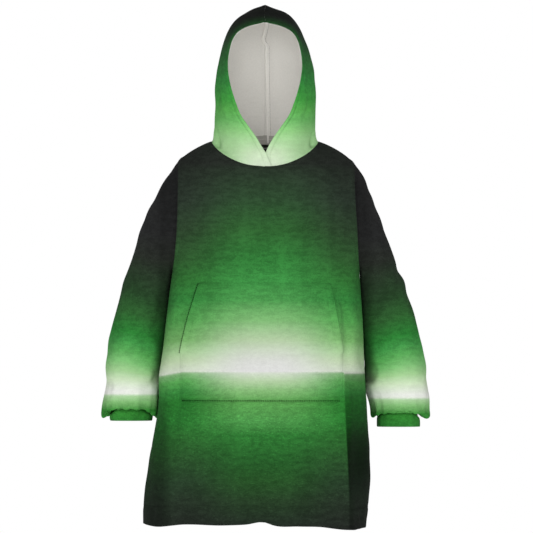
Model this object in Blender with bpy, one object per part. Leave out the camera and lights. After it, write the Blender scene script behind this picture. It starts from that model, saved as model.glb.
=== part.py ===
"""Oversized hooded fleece top, filled out as when it is worn, each sewn piece a wall of cloth.

Frame: metres, +Z up, the front faces -Y and the wearer's left is +X. The origin is the middle
of the neck at the height of the shoulders' highest point, where the wearer carries the cloth.
Every piece starts as a grid of points on its outside, worked out from sections. A second grid
lies one cloth's thickness further in, and the two are closed by the piece's cut edges.
"""
import bpy
import numpy as np

# Cloth and seams
FLEECE = 0.003
HOOD_SHELL = 0.002
LINING = 0.0015
TAPE = 0.001
SEAM_GAP = 0.0003
SEAM_AGREEMENT = 0.6
TAPE_CLEARANCE = 0.0006
POCKET_CLEARANCE = 0.0006

# Body panels: columns run down the cloth, rows run across it
ACROSS = 24
SHOULDER_COLUMNS = 8
UPPER_ROWS = 10
SQUARENESS = 2.6
UNDERARM_HEIGHT = -0.310
HEM_HEIGHT = -0.9145
STITCH_LINE_HEIGHT = -0.868
STITCH_DENT = 0.002
LOWER_ROW_HEIGHTS = (-0.365, -0.420, -0.475, -0.530, -0.590, -0.650, -0.710, -0.765, -0.820,
                     STITCH_LINE_HEIGHT, -0.891, HEM_HEIGHT)

# Body sections, one row each: height, half width on the wearer's right and left, depths
BODY_SECTIONS = np.array([
    # height  right   left    front   back
    [0.000, 0.2050, 0.2110, 0.1250, 0.1150],
    [-0.060, 0.2065, 0.2130, 0.1260, 0.1160],
    [-0.240, 0.2115, 0.2205, 0.1300, 0.1220],
    [-0.310, 0.2190, 0.2240, 0.1320, 0.1240],
    [-0.357, 0.2258, 0.2275, 0.1350, 0.1270],
    [-0.452, 0.2377, 0.2329, 0.1420, 0.1320],
    [-0.547, 0.2472, 0.2353, 0.1460, 0.1350],
    [-0.642, 0.2543, 0.2380, 0.1480, 0.1370],
    [-0.713, 0.2650, 0.2425, 0.1490, 0.1380],
    [-0.784, 0.2757, 0.2496, 0.1500, 0.1380],
    [-0.856, 0.2876, 0.2460, 0.1500, 0.1370],
    [-0.930, 0.2900, 0.2360, 0.1490, 0.1360],
])

# Shoulder line seen from the front: distance from the middle, height
SHOULDER_LINE = np.array([
    [0.000, 0.000], [0.100, 0.000], [0.127, -0.004], [0.160, -0.018], [0.190, -0.037],
    [0.214, -0.058],
])
SHOULDER_ROUNDING = 0.140
ARMHOLE_FULLNESS = 0.72

# Neckline in plan: an oval that is squarer than an ellipse
NECK_HALF_WIDTH = 0.127
NECK_FRONT_DEPTH = 0.1035
NECK_BACK_DEPTH = 0.060
NECK_SQUARENESS = 2.6

# How far the hem hangs below its mean height, along the width
HEM_DROPS = np.array([
    # across  drop
    [-0.290, -0.003], [-0.265, 0.002], [-0.190, -0.003], [-0.100, -0.001], [-0.045, -0.003],
    [0.000, -0.008], [0.020, -0.001], [0.080, 0.002], [0.130, 0.003], [0.185, 0.009],
    [0.225, 0.007], [0.245, 0.004],
])

# Long soft folds of the body, each from one place to another: which panel (-1 front, 1 back)
BODY_FOLDS = np.array([
    # panel  x1     z1      x2     z2      width  height
    [-1, 0.182, -0.330, 0.190, -0.930, 0.022, 0.007],
    [-1, -0.215, -0.700, -0.240, -0.930, 0.024, 0.006],
    [-1, 0.075, -0.690, 0.085, -0.930, 0.030, -0.004],
    [-1, -0.100, -0.700, -0.115, -0.930, 0.034, 0.004],
    [1, -0.150, -0.350, -0.185, -0.930, 0.030, 0.007],
    [1, 0.060, -0.420, 0.075, -0.930, 0.034, -0.006],
    [1, 0.165, -0.380, 0.180, -0.930, 0.026, 0.007],
    [1, -0.045, -0.560, -0.060, -0.930, 0.034, 0.005],
])

# Sleeve sections: outer end, inner end, half depths, how deep the gathers are
SLEEVE_SECTIONS = np.array([
    # out x  out z   in x   in z    front  back   gather
    [0.232, -0.086, 0.2300, -0.323, 0.086, 0.084, 0.000],
    [0.256, -0.132, 0.2310, -0.342, 0.085, 0.082, 0.000],
    [0.280, -0.187, 0.2320, -0.362, 0.082, 0.079, 0.000],
    [0.300, -0.243, 0.2330, -0.386, 0.078, 0.076, 0.000],
    [0.318, -0.300, 0.2340, -0.413, 0.074, 0.072, 0.000],
    [0.337, -0.352, 0.2345, -0.441, 0.071, 0.070, 0.000],
    [0.353, -0.410, 0.2350, -0.470, 0.069, 0.068, 0.000],
    [0.366, -0.455, 0.2370, -0.502, 0.068, 0.067, 0.000],
    [0.375, -0.500, 0.2440, -0.535, 0.067, 0.066, 0.000],
    [0.3805, -0.540, 0.2530, -0.561, 0.063, 0.063, 0.000],
    [0.3850, -0.580, 0.2480, -0.588, 0.067, 0.066, 0.001],
    [0.3915, -0.617, 0.2560, -0.619, 0.069, 0.067, 0.0025],
    [0.3895, -0.640, 0.2580, -0.641, 0.063, 0.061, 0.0020],
    [0.3730, -0.631, 0.2705, -0.629, 0.045, 0.043, 0.000],
])
SLEEVE_MIDDLE_Y = 0.045
# The puff over the cuff: how far its last three rings hang lower, and their ends lower still
PUFF_RINGS = 3
PUFF_DROP = {"left": 0.010, "right": 0.000}
LOBE_DROP = {"left": 0.007, "right": 0.014}
SLEEVE_SETTLED_RING = 6
SLEEVE_BODY_CLEARANCE = 0.0045

# Cuffs: a short tube under each sleeve's gathered end
CUFF_RINGS = 3
CUFF_TAPER = 0.97
CUFF_BOTTOM = {"left": -0.682, "right": -0.668}

# Hood: the face edge, from the neck seam up to the forehead
HOOD_EDGE = np.array([
    # x      y       z
    [0.0000, -0.1035, -0.0610],
    [0.0000, -0.1130, -0.0300],
    [0.0170, -0.1165, 0.0000],
    [0.0370, -0.1180, 0.0285],
    [0.0570, -0.1175, 0.0570],
    [0.0690, -0.1150, 0.0856],
    [0.0785, -0.1120, 0.1140],
    [0.0855, -0.1080, 0.1426],
    [0.0890, -0.1040, 0.1710],
    [0.0880, -0.0990, 0.1950],
    [0.0835, -0.0950, 0.2200],
    [0.0765, -0.0915, 0.2400],
    [0.0630, -0.0885, 0.2575],
    [0.0370, -0.0865, 0.2705],
    [0.0000, -0.0850, 0.2790],
])
# Hood: the seam up the middle of the back, from the neck seam to the crown
HOOD_BACK_SEAM = np.array([
    # y      z
    [0.060, -0.018], [0.085, 0.020], [0.122, 0.070], [0.146, 0.130], [0.151, 0.190],
    [0.132, 0.250], [0.088, 0.298], [0.030, 0.322],
])
HOOD_ACROSS = 16
HOOD_ROWS = 13
HOOD_HALF_WIDTH = 0.120
HOOD_WIDE_UNTIL = 0.35
HOOD_CROWN_POWER = 2.3
HOOD_CROWN_POINT = 0.70
HOOD_WIDEST_Y = np.array([[0.0, 0.004], [0.4, 0.022], [0.75, 0.010], [1.0, -0.0275]])
HOOD_SIDE_RISE = 0.030
HOOD_CROWN_RISE = 0.010

# Pocket: corners seen from the front
POCKET_ROWS = 10
POCKET_COLUMNS = 14
POCKET_TOP = -0.339
POCKET_SLIT_END = -0.506
POCKET_BOTTOM = -0.622
POCKET_HALF_TOP = {"right": 0.157, "left": 0.154}
POCKET_HALF_BOTTOM = {"right": 0.201, "left": 0.184}
POCKET_FULLNESS = 0.0022
POCKET_CROWDING = 1.25

CHARCOAL_GREEN = (0.022, 0.045, 0.022)
MID_GREEN = (0.060, 0.270, 0.070)
CUFF_GREEN = (0.030, 0.180, 0.035)
HOOD_GREEN = (0.080, 0.300, 0.085)
POCKET_GREEN = (0.220, 0.480, 0.200)
LINING_GREY = (0.480, 0.475, 0.455)
TAPE_GREY = (0.350, 0.345, 0.330)
FLEECE_ROUGHNESS = 0.95


def read_table(table, column, at):
    """One column of a table, read at any place along its first column on a smooth curve."""
    places = table[:, 0]
    values = table[:, column]
    if places[0] > places[-1]:
        places = places[::-1]
        values = values[::-1]
    slopes = np.gradient(values, places)
    at = np.clip(np.asarray(at, dtype=float), places[0], places[-1])
    step = np.clip(np.searchsorted(places, at, side="right") - 1, 0, len(places) - 2)
    width = places[step + 1] - places[step]
    t = (at - places[step]) / width
    ease = t * t * (3 - 2 * t)
    start = t * (1 - t) ** 2 * width * slopes[step]
    end = t * t * (t - 1) * width * slopes[step + 1]
    return values[step] * (1 - ease) + values[step + 1] * ease + start + end


def along(path, fractions):
    """Points at the given fractions of a smooth path's length."""
    places = np.linspace(0, 1, len(path))
    fine = np.linspace(0, 1, 400)
    curve = np.stack([read_table(np.column_stack([places, path[:, axis]]), 1, fine)
                      for axis in range(path.shape[1])], axis=1)
    steps = np.linalg.norm(np.diff(curve, axis=0), axis=1)
    length = np.concatenate([[0], np.cumsum(steps)])
    length /= length[-1]
    return np.stack([np.interp(fractions, length, curve[:, axis])
                     for axis in range(path.shape[1])], axis=1)


def unit(vectors):
    """The same directions with length one."""
    return vectors / np.maximum(np.linalg.norm(vectors, axis=-1, keepdims=True), 1e-12)


def grid_normals(points, outward, closed=False):
    """Directions square to a grid, turned to the side that 'outward' points to."""
    down = np.gradient(points, axis=0)
    if closed:
        across = (np.roll(points, -1, axis=1) - np.roll(points, 1, axis=1)) / 2
    else:
        across = np.gradient(points, axis=1)
    normals = unit(np.cross(down, across))
    side = np.sum(normals * outward, axis=-1, keepdims=True)
    return normals * np.where(side.mean() < 0, -1, 1)


def flatten(normals, axis):
    """Normals on a seam between mirrored pieces, with nothing along the given axis."""
    normals[..., axis] = 0
    return unit(normals)


def material(name, colour):
    """A matt fleece finish of one colour."""
    finish = bpy.data.materials.new(name)
    finish.use_nodes = True
    shader = finish.node_tree.nodes["Principled BSDF"]
    shader.inputs["Base Color"].default_value = (*colour, 1)
    shader.inputs["Roughness"].default_value = FLEECE_ROUGHNESS
    shader.inputs["Metallic"].default_value = 0
    return finish


def cloth_wall(name, outer, normals, thickness, finish, closed=False):
    """A closed wall of cloth: the outer grid, the grid inside it, and the cut edges."""
    rows, columns = outer.shape[:2]
    inner = outer - normals * thickness
    corners = np.concatenate([outer.reshape(-1, 3), inner.reshape(-1, 3)])
    count = rows * columns
    index = np.arange(count).reshape(rows, columns)
    if closed:
        index = np.concatenate([index, index[:, :1]], axis=1)
    a, b = index[:-1, :-1].ravel(), index[:-1, 1:].ravel()
    d, c = index[1:, :-1].ravel(), index[1:, 1:].ravel()
    skin = np.concatenate([np.stack([a, b, c], 1), np.stack([a, c, d], 1)])
    faces = [skin, skin[:, ::-1] + count]
    edges = [index[0], index[-1][::-1]]
    if not closed:
        edges += [index[:, -1], index[:, 0][::-1]]
    for edge in edges:
        p, q = edge[:-1], edge[1:]
        faces.append(np.stack([q, p, p + count], 1))
        faces.append(np.stack([q, p + count, q + count], 1))
    faces = np.concatenate(faces)
    triangles = corners[faces]
    volume = np.einsum("ij,ij->", triangles[:, 0],
                       np.cross(triangles[:, 1], triangles[:, 2]))
    if volume < 0:
        faces = faces[:, ::-1]
    mesh = bpy.data.meshes.new(name)
    mesh.from_pydata(corners.tolist(), [], faces.tolist())
    mesh.materials.append(finish)
    mesh.shade_smooth()
    mesh.set_sharp_from_angle(angle=np.radians(50))
    piece = bpy.data.objects.new(name, mesh)
    garment.objects.link(piece)
    return piece


def squarish_arc(angle, power):
    """A point on a quarter-turn that is squarer than a circle: its two shares of the radii."""
    cosine, sine = np.cos(angle), np.sin(angle)
    return (np.sign(cosine) * np.abs(cosine) ** (2 / power), np.abs(sine) ** (2 / power))


def half_width(height, share):
    """The body's half width on the side that the share's sign names."""
    return np.where(share < 0, read_table(BODY_SECTIONS, 1, height),
                    read_table(BODY_SECTIONS, 2, height))


def body_side(height, behind, sign):
    """Where the body's side is at a height, a little way behind its widest line."""
    depth = float(read_table(BODY_SECTIONS, 4, height))
    return float(half_width(height, sign)) * (1 - (behind / depth) ** SQUARENESS) ** (
        1 / SQUARENESS)


def armhole_share(drop):
    """How much of the body's depth is left at the armhole, from its top (0) to the underarm."""
    return ARMHOLE_FULLNESS * np.clip(1 - np.clip(drop, 0, 1) ** 3, 0, 1) ** (1 / 2.2)


def fold_relief(x, z, side):
    """Height of the long folds above a panel, each a soft ridge or trough beside a line."""
    relief = np.zeros(np.broadcast(x, z).shape)
    for panel, x1, z1, x2, z2, width, height in BODY_FOLDS:
        if panel != side:
            continue
        run = np.clip((z - z1) / (z2 - z1), 0, 1)
        away = (x - (x1 + (x2 - x1) * run)) / width
        grows = np.sqrt(run) * np.clip((z1 - z) / 0.03, 0, 1)
        relief += height * grows * np.exp(-away * away)
    return relief


def panel_top(side):
    """The panel's top edge: across each shoulder seam and along the neckline between them."""
    spread = np.abs(np.linspace(-1, 1, ACROSS + 1))
    sign = np.sign(np.linspace(-1, 1, ACROSS + 1))
    neck_spread = 1 - SHOULDER_COLUMNS / (ACROSS / 2)
    arm_x = half_width(SHOULDER_LINE[-1, 1], sign)
    x = sign * np.interp(spread, [neck_spread, 1], [0, 1]) * (arm_x - NECK_HALF_WIDTH)
    x += sign * NECK_HALF_WIDTH
    y = np.zeros_like(x)
    neck = slice(SHOULDER_COLUMNS, ACROSS - SHOULDER_COLUMNS + 1)
    angle = np.linspace(np.pi, 0, ACROSS - 2 * SHOULDER_COLUMNS + 1)
    neck_x, neck_y = squarish_arc(angle, NECK_SQUARENESS)
    x[neck] = neck_x * NECK_HALF_WIDTH
    y[neck] = neck_y * (NECK_FRONT_DEPTH if side < 0 else NECK_BACK_DEPTH)
    return x, y


def body_panel(side):
    """The front (-1) or back (1) panel: shoulder seams and neckline on top, hem below."""
    depth_column = 3 if side < 0 else 4
    power = SQUARENESS
    spread = np.linspace(-1, 1, ACROSS + 1)
    sign = np.sign(spread)
    x_top, y_top = panel_top(side)
    crest = read_table(SHOULDER_LINE, 1, np.abs(x_top))
    arm_top = SHOULDER_LINE[-1, 1]

    def first_angle(z):
        drop = (arm_top - z) / (arm_top - UNDERARM_HEIGHT)
        return np.arcsin(armhole_share(drop) ** (power / 2))

    def depth_at(x, z):
        reach = np.cos(first_angle(z)) ** (2 / power)
        filled = np.clip(reach * np.abs(x) / half_width(z, sign), 0, 1)
        return read_table(BODY_SECTIONS, depth_column, z) * (1 - filled ** power) ** (1 / power)

    start = np.arcsin(np.clip(y_top / depth_at(x_top, crest - 0.03), 0, 1))
    z_top = crest - SHOULDER_ROUNDING * (1 - np.cos(start))
    down = np.linspace(0, 1, UPPER_ROWS + 1)[:, None]
    at_armhole = (1 - np.cos(np.pi * down)) / 2
    at_chest = 1 - np.cos(np.pi * down / 2)
    share = np.abs(spread) ** 2
    z = z_top + (UNDERARM_HEIGHT - z_top) * (at_armhole * share + at_chest * (1 - share))
    lowest = first_angle(z)
    angle = np.pi / 2 - (np.pi / 2 - lowest) * np.abs(spread)
    x_low = sign * half_width(z, sign) * (np.cos(angle) / np.cos(lowest)) ** (2 / power)
    run = np.clip((z_top - z) / (z_top - UNDERARM_HEIGHT) * 1.6, 0, 1)
    x = x_top + (x_low - x_top) * run * run * (3 - 2 * run)
    turned = np.arccos(np.clip(1 - (crest - z) / SHOULDER_ROUNDING, 0, 1))
    y = depth_at(x, z) * np.sin(turned)
    y += (y_top - y[0]) * (1 - down) ** 2
    y[-1, [0, -1]] = 0
    upper = np.stack([x, side * y, z], axis=-1)

    across, deep = squarish_arc(np.linspace(np.pi, 0, ACROSS + 1), power)
    z = np.array(LOWER_ROW_HEIGHTS)[:, None] * np.ones(ACROSS + 1)
    x = half_width(z, sign) * across
    y = side * read_table(BODY_SECTIONS, depth_column, z) * deep
    low = np.clip((z + 0.70) / (HEM_HEIGHT + 0.70), 0, 1)
    lower = np.stack([x, y, z - low * read_table(HEM_DROPS, 1, x)], axis=-1)
    points = np.concatenate([upper, lower])
    outward = np.array([0, side, 0.2])
    normals = grid_normals(points, outward)
    relief = fold_relief(points[..., 0], points[..., 2], side) * deep
    stitch_row = UPPER_ROWS + 1 + LOWER_ROW_HEIGHTS.index(STITCH_LINE_HEIGHT)
    relief[stitch_row] -= STITCH_DENT
    relief[:, [0, -1]] = 0
    points = points + normals * relief[..., None]
    normals = grid_normals(points, outward)
    points[..., 1] += side * SEAM_GAP / 2
    shoulders = np.r_[0:SHOULDER_COLUMNS + 1, ACROSS - SHOULDER_COLUMNS:ACROSS + 1]
    normals[0, shoulders] = flatten(normals[0, shoulders], 1)
    for edge in (0, -1):
        normals[UPPER_ROWS:, edge] = flatten(normals[UPPER_ROWS:, edge], 1)
    return points, normals


def armhole(front, back, edge):
    """The armhole as one loop: down the front from the shoulder point, up the back."""
    return np.concatenate([front[:UPPER_ROWS + 1, edge], back[UPPER_ROWS - 1:0:-1, edge]])


def sleeve(loop, side, sign):
    """A sleeve's rings, fanned out from the armhole to the gathered wrist."""
    count = len(loop)
    angle = np.linspace(0, 2 * np.pi, count, endpoint=False)
    first = loop.copy()
    first[:, 0] += sign * SEAM_GAP
    first[0, 1] = 0
    first[count // 2, 1] = 0
    rings = [first]
    waves = np.where(np.arange(count) % 2 == 0, 1.0, -1.0)
    for number, (out_x, out_z, in_x, in_z, front, back, gather) in enumerate(SLEEVE_SECTIONS):
        middle_y = SLEEVE_MIDDLE_Y * min(1.0, (number + 1) / SLEEVE_SETTLED_RING)
        in_x = max(in_x, body_side(in_z, middle_y, sign) + SLEEVE_BODY_CLEARANCE)
        middle = np.array([(out_x + in_x) / 2, (out_z + in_z) / 2])
        reach = np.array([(out_x - in_x) / 2, (out_z - in_z) / 2])
        swell = 1 + gather * waves / np.linalg.norm(reach)
        across, deep = np.cos(angle), -np.sin(angle)
        depth = np.where(deep < 0, front, back) * np.abs(deep) ** 0.9 * np.sign(deep)
        x = middle[0] + reach[0] * across * swell
        z = middle[1] + reach[1] * across
        if number >= len(SLEEVE_SECTIONS) - PUFF_RINGS:
            z -= PUFF_DROP[side] + LOBE_DROP[side] * across ** 4
        y = middle_y + depth * swell
        rings.append(np.stack([sign * x, y, z], axis=1))
    return np.stack(rings)


def seam_normals(panel_normals, sleeve_normals):
    """One direction for two walls that meet at a seam, where their outsides agree."""
    agree = np.sum(panel_normals * sleeve_normals, axis=-1, keepdims=True) > SEAM_AGREEMENT
    shared = unit(panel_normals + sleeve_normals)
    return (np.where(agree, shared, panel_normals), np.where(agree, shared, sleeve_normals))


def cuff(last_ring, side):
    """The band under a sleeve: the sleeve's last ring carried down and drawn in a little."""
    top = last_ring.copy()
    top[:, 2] -= SEAM_GAP
    middle = top.mean(axis=0)
    share = np.linspace(0, 1, CUFF_RINGS + 1)[:, None, None]
    narrow = 1 + (CUFF_TAPER - 1) * share
    rings = middle + (top - middle) * narrow
    rings[..., 2] = top[:, 2] + (CUFF_BOTTOM[side] - top[:, 2]) * share[..., 0]
    return rings


def neckline(front, back):
    """The neckline of the wearer's left half, centre front to centre back, with midpoints."""
    middle = ACROSS // 2
    corner = ACROSS - SHOULDER_COLUMNS
    points = np.concatenate([front[0, middle:corner + 1], back[0, corner - 1:middle - 1:-1]])
    points[len(points) // 2, 1] = 0
    halves = (points[:-1] + points[1:]) / 2
    finer = np.empty((2 * len(points) - 1, 3))
    finer[::2] = points
    finer[1::2] = halves
    return finer


def hood_half(base):
    """The hood's left half: arcs from the face edge round the side to the middle seam."""
    half = HOOD_ACROSS // 2
    share = np.linspace(0, 1, HOOD_ROWS + 1)
    edge = along(HOOD_EDGE, share)
    seam = along(HOOD_BACK_SEAM, share)
    crown = np.clip((share - HOOD_WIDE_UNTIL) / (1 - HOOD_WIDE_UNTIL), 0, 1)
    width = HOOD_HALF_WIDTH * (1 - crown ** HOOD_CROWN_POWER) ** HOOD_CROWN_POINT
    rows = [base + np.array([0, 0, SEAM_GAP])]
    for row in range(1, HOOD_ROWS + 1):
        edge_x, edge_y, edge_z = edge[row]
        seam_y, seam_z = seam[row]
        wide_y = float(read_table(HOOD_WIDEST_Y, 1, share[row]))
        last = row == HOOD_ROWS
        first_angle = -np.pi / 2 if last else -np.arccos(min(1, edge_x / width[row]))
        angle = np.concatenate([np.linspace(first_angle, 0, half + 1),
                                np.linspace(0, np.pi / 2, half + 1)[1:]])
        front_reach = (wide_y - edge_y) / np.sin(-first_angle)
        reach = np.where(angle < 0, front_reach, seam_y - wide_y)
        y = wide_y + reach * np.sin(angle)
        x = width[row] * np.cos(angle)
        run = (y - edge_y) / (seam_y - edge_y)
        side_rise = HOOD_SIDE_RISE * np.clip(1 - share[row] / 0.35, 0, 1) ** 1.5
        rise = side_rise * np.sin(np.pi * run) ** 2
        rise += HOOD_CROWN_RISE * share[row] ** 4 * np.sin(np.pi * run)
        z = edge_z + (seam_z - edge_z) * run + rise
        rows.append(np.stack([x, y, z], axis=1))
    points = np.stack(rows)
    points[..., 0] = np.maximum(points[..., 0], 0) + SEAM_GAP / 2
    return points


def hood_normals(points):
    """Outward directions of the hood's left half, with no sideways part on the middle seam."""
    normals = grid_normals(points, np.array([1.0, 0, 0.3]))
    normals[-1] = flatten(normals[-1], 0)
    normals[:, -1] = flatten(normals[:, -1], 0)
    closed_front = points[:, 0, 0] < 0.002
    normals[closed_front, 0] = flatten(normals[closed_front, 0], 0)
    return normals


def mirrored(grid):
    """The same grid on the wearer's other side."""
    return grid * np.array([-1, 1, 1])


def pocket_points():
    """The pocket laid on the front panel: straight top and bottom, slanted hand openings."""
    down = np.linspace(0, 1, POCKET_ROWS + 1)[:, None]
    z = POCKET_TOP + (POCKET_BOTTOM - POCKET_TOP) * down
    slit = np.clip((POCKET_TOP - z) / (POCKET_TOP - POCKET_SLIT_END), 0, 1)
    share = np.sin(np.linspace(-POCKET_CROWDING, POCKET_CROWDING, POCKET_COLUMNS + 1))
    share = share[None, :] / np.sin(POCKET_CROWDING)
    right = POCKET_HALF_TOP["right"] + slit * (POCKET_HALF_BOTTOM["right"]
                                               - POCKET_HALF_TOP["right"])
    left = POCKET_HALF_TOP["left"] + slit * (POCKET_HALF_BOTTOM["left"]
                                             - POCKET_HALF_TOP["left"])
    x = share * np.where(share < 0, right, left)
    z = z * np.ones_like(x)
    width = half_width(z, share)
    fill = np.clip(1 - np.abs(x / width) ** SQUARENESS, 0, 1) ** (1 / SQUARENESS)
    y = -read_table(BODY_SECTIONS, 3, z) * fill
    points = np.stack([x, y, z], axis=-1)
    normals = grid_normals(points, np.array([0, -1.0, 0]))
    swell = POCKET_FULLNESS * np.sin(np.pi * down) * (1 - share ** 4)
    lift = fold_relief(x, z, -1) * fill + POCKET_CLEARANCE * (1 + share ** 2) + FLEECE + swell
    points = points + normals * lift[..., None]
    points[..., 1] -= SEAM_GAP / 2
    return points, grid_normals(points, np.array([0, -1.0, 0]))


def neck_tape_points(lining, normals):
    """A strip over the back neck seam, made from the lining's two lowest rows."""
    first = HOOD_ACROSS // 2 + 2
    inside = lining[:2, first:] - normals[:2, first:] * (LINING + TAPE_CLEARANCE)
    direction = unit(normals[:2, first:])
    low = inside[0] + (inside[1] - inside[0]) * 0.10
    high = inside[0] + (inside[1] - inside[0]) * 0.85
    left = np.stack([low, high])
    turn = np.stack([direction[0], direction[1]])
    right = mirrored(left)[:, ::-1]
    left = left.copy()
    left[:, -1, 0] = 0
    points = np.concatenate([left, right[:, 1:]], axis=1)
    return points, np.concatenate([turn, mirrored(turn)[:, ::-1][:, 1:]], axis=1)


for leftover in list(bpy.data.objects):
    bpy.data.objects.remove(leftover, do_unlink=True)
garment = bpy.data.collections.new("hooded_fleece_top")
bpy.context.scene.collection.children.link(garment)

body_finish = material("charcoal_green_fleece", CHARCOAL_GREEN)
back_finish = material("charcoal_green_fleece_back", CHARCOAL_GREEN)
sleeve_finish = material("green_fleece_sleeves", MID_GREEN)
cuff_finish = material("green_fleece_cuffs", CUFF_GREEN)
hood_finish = material("green_fleece_hood", HOOD_GREEN)
pocket_finish = material("pale_green_fleece_pocket", POCKET_GREEN)
lining_finish = material("light_grey_hood_lining", LINING_GREY)
tape_finish = material("grey_neck_tape", TAPE_GREY)

front_points, front_normals = body_panel(-1)
back_points, back_normals = body_panel(1)

for side, sign, edge in (("right", -1, 0), ("left", 1, -1)):
    rings = sleeve(armhole(front_points, back_points, edge), side, sign)
    outward = rings - rings.mean(axis=1, keepdims=True)
    ring_normals = grid_normals(rings, outward, closed=True)
    panel_side = armhole(front_normals, back_normals, edge)
    panel_side, sleeve_side = seam_normals(panel_side, ring_normals[0])
    ring_normals[0] = sleeve_side
    front_normals[:UPPER_ROWS + 1, edge] = panel_side[:UPPER_ROWS + 1]
    back_normals[1:UPPER_ROWS, edge] = panel_side[:UPPER_ROWS:-1]
    for shared_row in (0, UPPER_ROWS):
        front_normals[shared_row, edge] = flatten(front_normals[shared_row, edge], 1)
        back_normals[shared_row, edge] = front_normals[shared_row, edge]
    cloth_wall("sleeve_" + side, rings, ring_normals, FLEECE, sleeve_finish, closed=True)
    cuff_rings = cuff(rings[-1], side)
    cuff_normals = grid_normals(cuff_rings, cuff_rings - cuff_rings.mean(axis=1, keepdims=True),
                                closed=True)
    cloth_wall("cuff_" + side, cuff_rings, cuff_normals, FLEECE, cuff_finish, closed=True)

cloth_wall("front_panel", front_points, front_normals, FLEECE, body_finish)
cloth_wall("back_panel", back_points, back_normals, FLEECE, back_finish)

hood_points = hood_half(neckline(front_points, back_points))
normals = hood_normals(hood_points)
lining_points = hood_points - normals * (HOOD_SHELL + SEAM_GAP)
cloth_wall("hood_left", hood_points, normals, HOOD_SHELL, hood_finish)
cloth_wall("hood_right", mirrored(hood_points), mirrored(normals), HOOD_SHELL, hood_finish)
cloth_wall("hood_lining_left", lining_points, normals, LINING, lining_finish)
cloth_wall("hood_lining_right", mirrored(lining_points), mirrored(normals), LINING,
           lining_finish)
tape_points, tape_normals = neck_tape_points(lining_points, normals)
cloth_wall("neck_tape", tape_points, tape_normals, TAPE, tape_finish)

pocket_outer, pocket_normals = pocket_points()
cloth_wall("pocket", pocket_outer, pocket_normals, FLEECE, pocket_finish)
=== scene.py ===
# %% [markdown]
# # A long hooded fleece top, piece by piece
#
# The garment is an oversized "blanket" hoodie: brushed polyester fleece with an all-over printed
# fade, sewn from a front, a back, two sleeves, two cuffs, a kangaroo pocket and a hood of two
# halves with a plain lining. It hangs open as if a wearer had just stepped out of it.
#
# Every piece of cloth below is one surface. Two numbers run over it, one down the cloth and one
# across it, and short formulas turn them into a place in space. Most of these sizes made the
# part's solids too, so the dressed part and the solids agree closely. Folds, seams and gathers
# are then added as small hills and hollows square to that surface.
#
# Frame: metres, +Z up, the front faces -Y, the wearer's left is +X, and the origin is the middle
# of the neck at the height of the shoulders.

# %% Tools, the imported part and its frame
import bpy
import numpy as np
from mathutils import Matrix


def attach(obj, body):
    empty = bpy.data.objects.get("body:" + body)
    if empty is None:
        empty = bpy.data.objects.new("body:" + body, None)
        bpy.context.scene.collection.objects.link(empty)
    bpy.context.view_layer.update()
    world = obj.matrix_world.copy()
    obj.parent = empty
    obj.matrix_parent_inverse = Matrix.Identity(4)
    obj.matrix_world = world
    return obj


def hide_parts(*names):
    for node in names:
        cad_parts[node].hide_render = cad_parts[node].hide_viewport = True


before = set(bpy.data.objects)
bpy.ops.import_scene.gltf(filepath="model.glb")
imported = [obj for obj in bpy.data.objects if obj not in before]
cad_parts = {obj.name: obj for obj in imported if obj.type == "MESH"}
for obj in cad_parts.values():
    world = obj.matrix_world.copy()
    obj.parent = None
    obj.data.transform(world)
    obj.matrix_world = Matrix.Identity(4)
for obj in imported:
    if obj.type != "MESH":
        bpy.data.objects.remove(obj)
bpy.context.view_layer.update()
print("nodes:", ", ".join(sorted(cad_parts)))

# %% [markdown]
# ## How fine the surfaces are
#
# Real fleece bends softly over 3 to 5 mm, so grid cells of about that size carry every fold that
# a camera at four metres or more can see.
#
# Sewn pieces never touch here. The gaps at the shoulders, sides, neck and hood are thinner than
# the others, because a camera looks straight through those seams to the light behind them.

# %% Sizes of the cloth and of the grids
FLEECE = 0.003
HOOD_SHELL = 0.002
LINING = 0.0015
TAPE = 0.001
SEAM_GAP = 0.0003
SEWN_GAP = 0.00008
MIDDLE_GAP = 0.00003

FINE = 2
ACROSS = 90 * FINE
SHOULDER_COLUMNS = 30 * FINE
UPPER_ROWS = 30 * FINE
LOWER_ROWS = 60 * FINE
SLEEVE_RINGS = 90 * FINE
HOOD_ROWS = 48 * FINE
EDGE_STEPS = 3
print("front panel grid:", UPPER_ROWS + LOWER_ROWS + 1, "rows by", ACROSS + 1, "columns")

# %% [markdown]
# ## Small helpers for surfaces
#
# A pattern cutter works from a few measured sections and draws smooth lines between them. The
# tables in this script are such sections, and `read_table` is the smooth line. The other helpers
# measure along a grid, find the direction square to it and close it into thin cloth.

# %% Helpers: smooth tables, directions and distances on a grid
PATH_STEPS = 600
WAVES = 16
USUAL_WAVE_SUM = 2.2


def read_table(table, column, at):
    """One column of a table on a smooth curve: a cubic with matching slopes at each row."""
    places = table[:, 0]
    values = table[:, column]
    if places[0] > places[-1]:
        places = places[::-1]
        values = values[::-1]
    slopes = np.gradient(values, places)
    at = np.clip(np.asarray(at, dtype=float), places[0], places[-1])
    step = np.clip(np.searchsorted(places, at, side="right") - 1, 0, len(places) - 2)
    width = places[step + 1] - places[step]
    t = (at - places[step]) / width
    ease = t * t * (3 - 2 * t)
    start = t * (1 - t) ** 2 * width * slopes[step]
    end = t * t * (t - 1) * width * slopes[step + 1]
    return values[step] * (1 - ease) + values[step + 1] * ease + start + end


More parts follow.
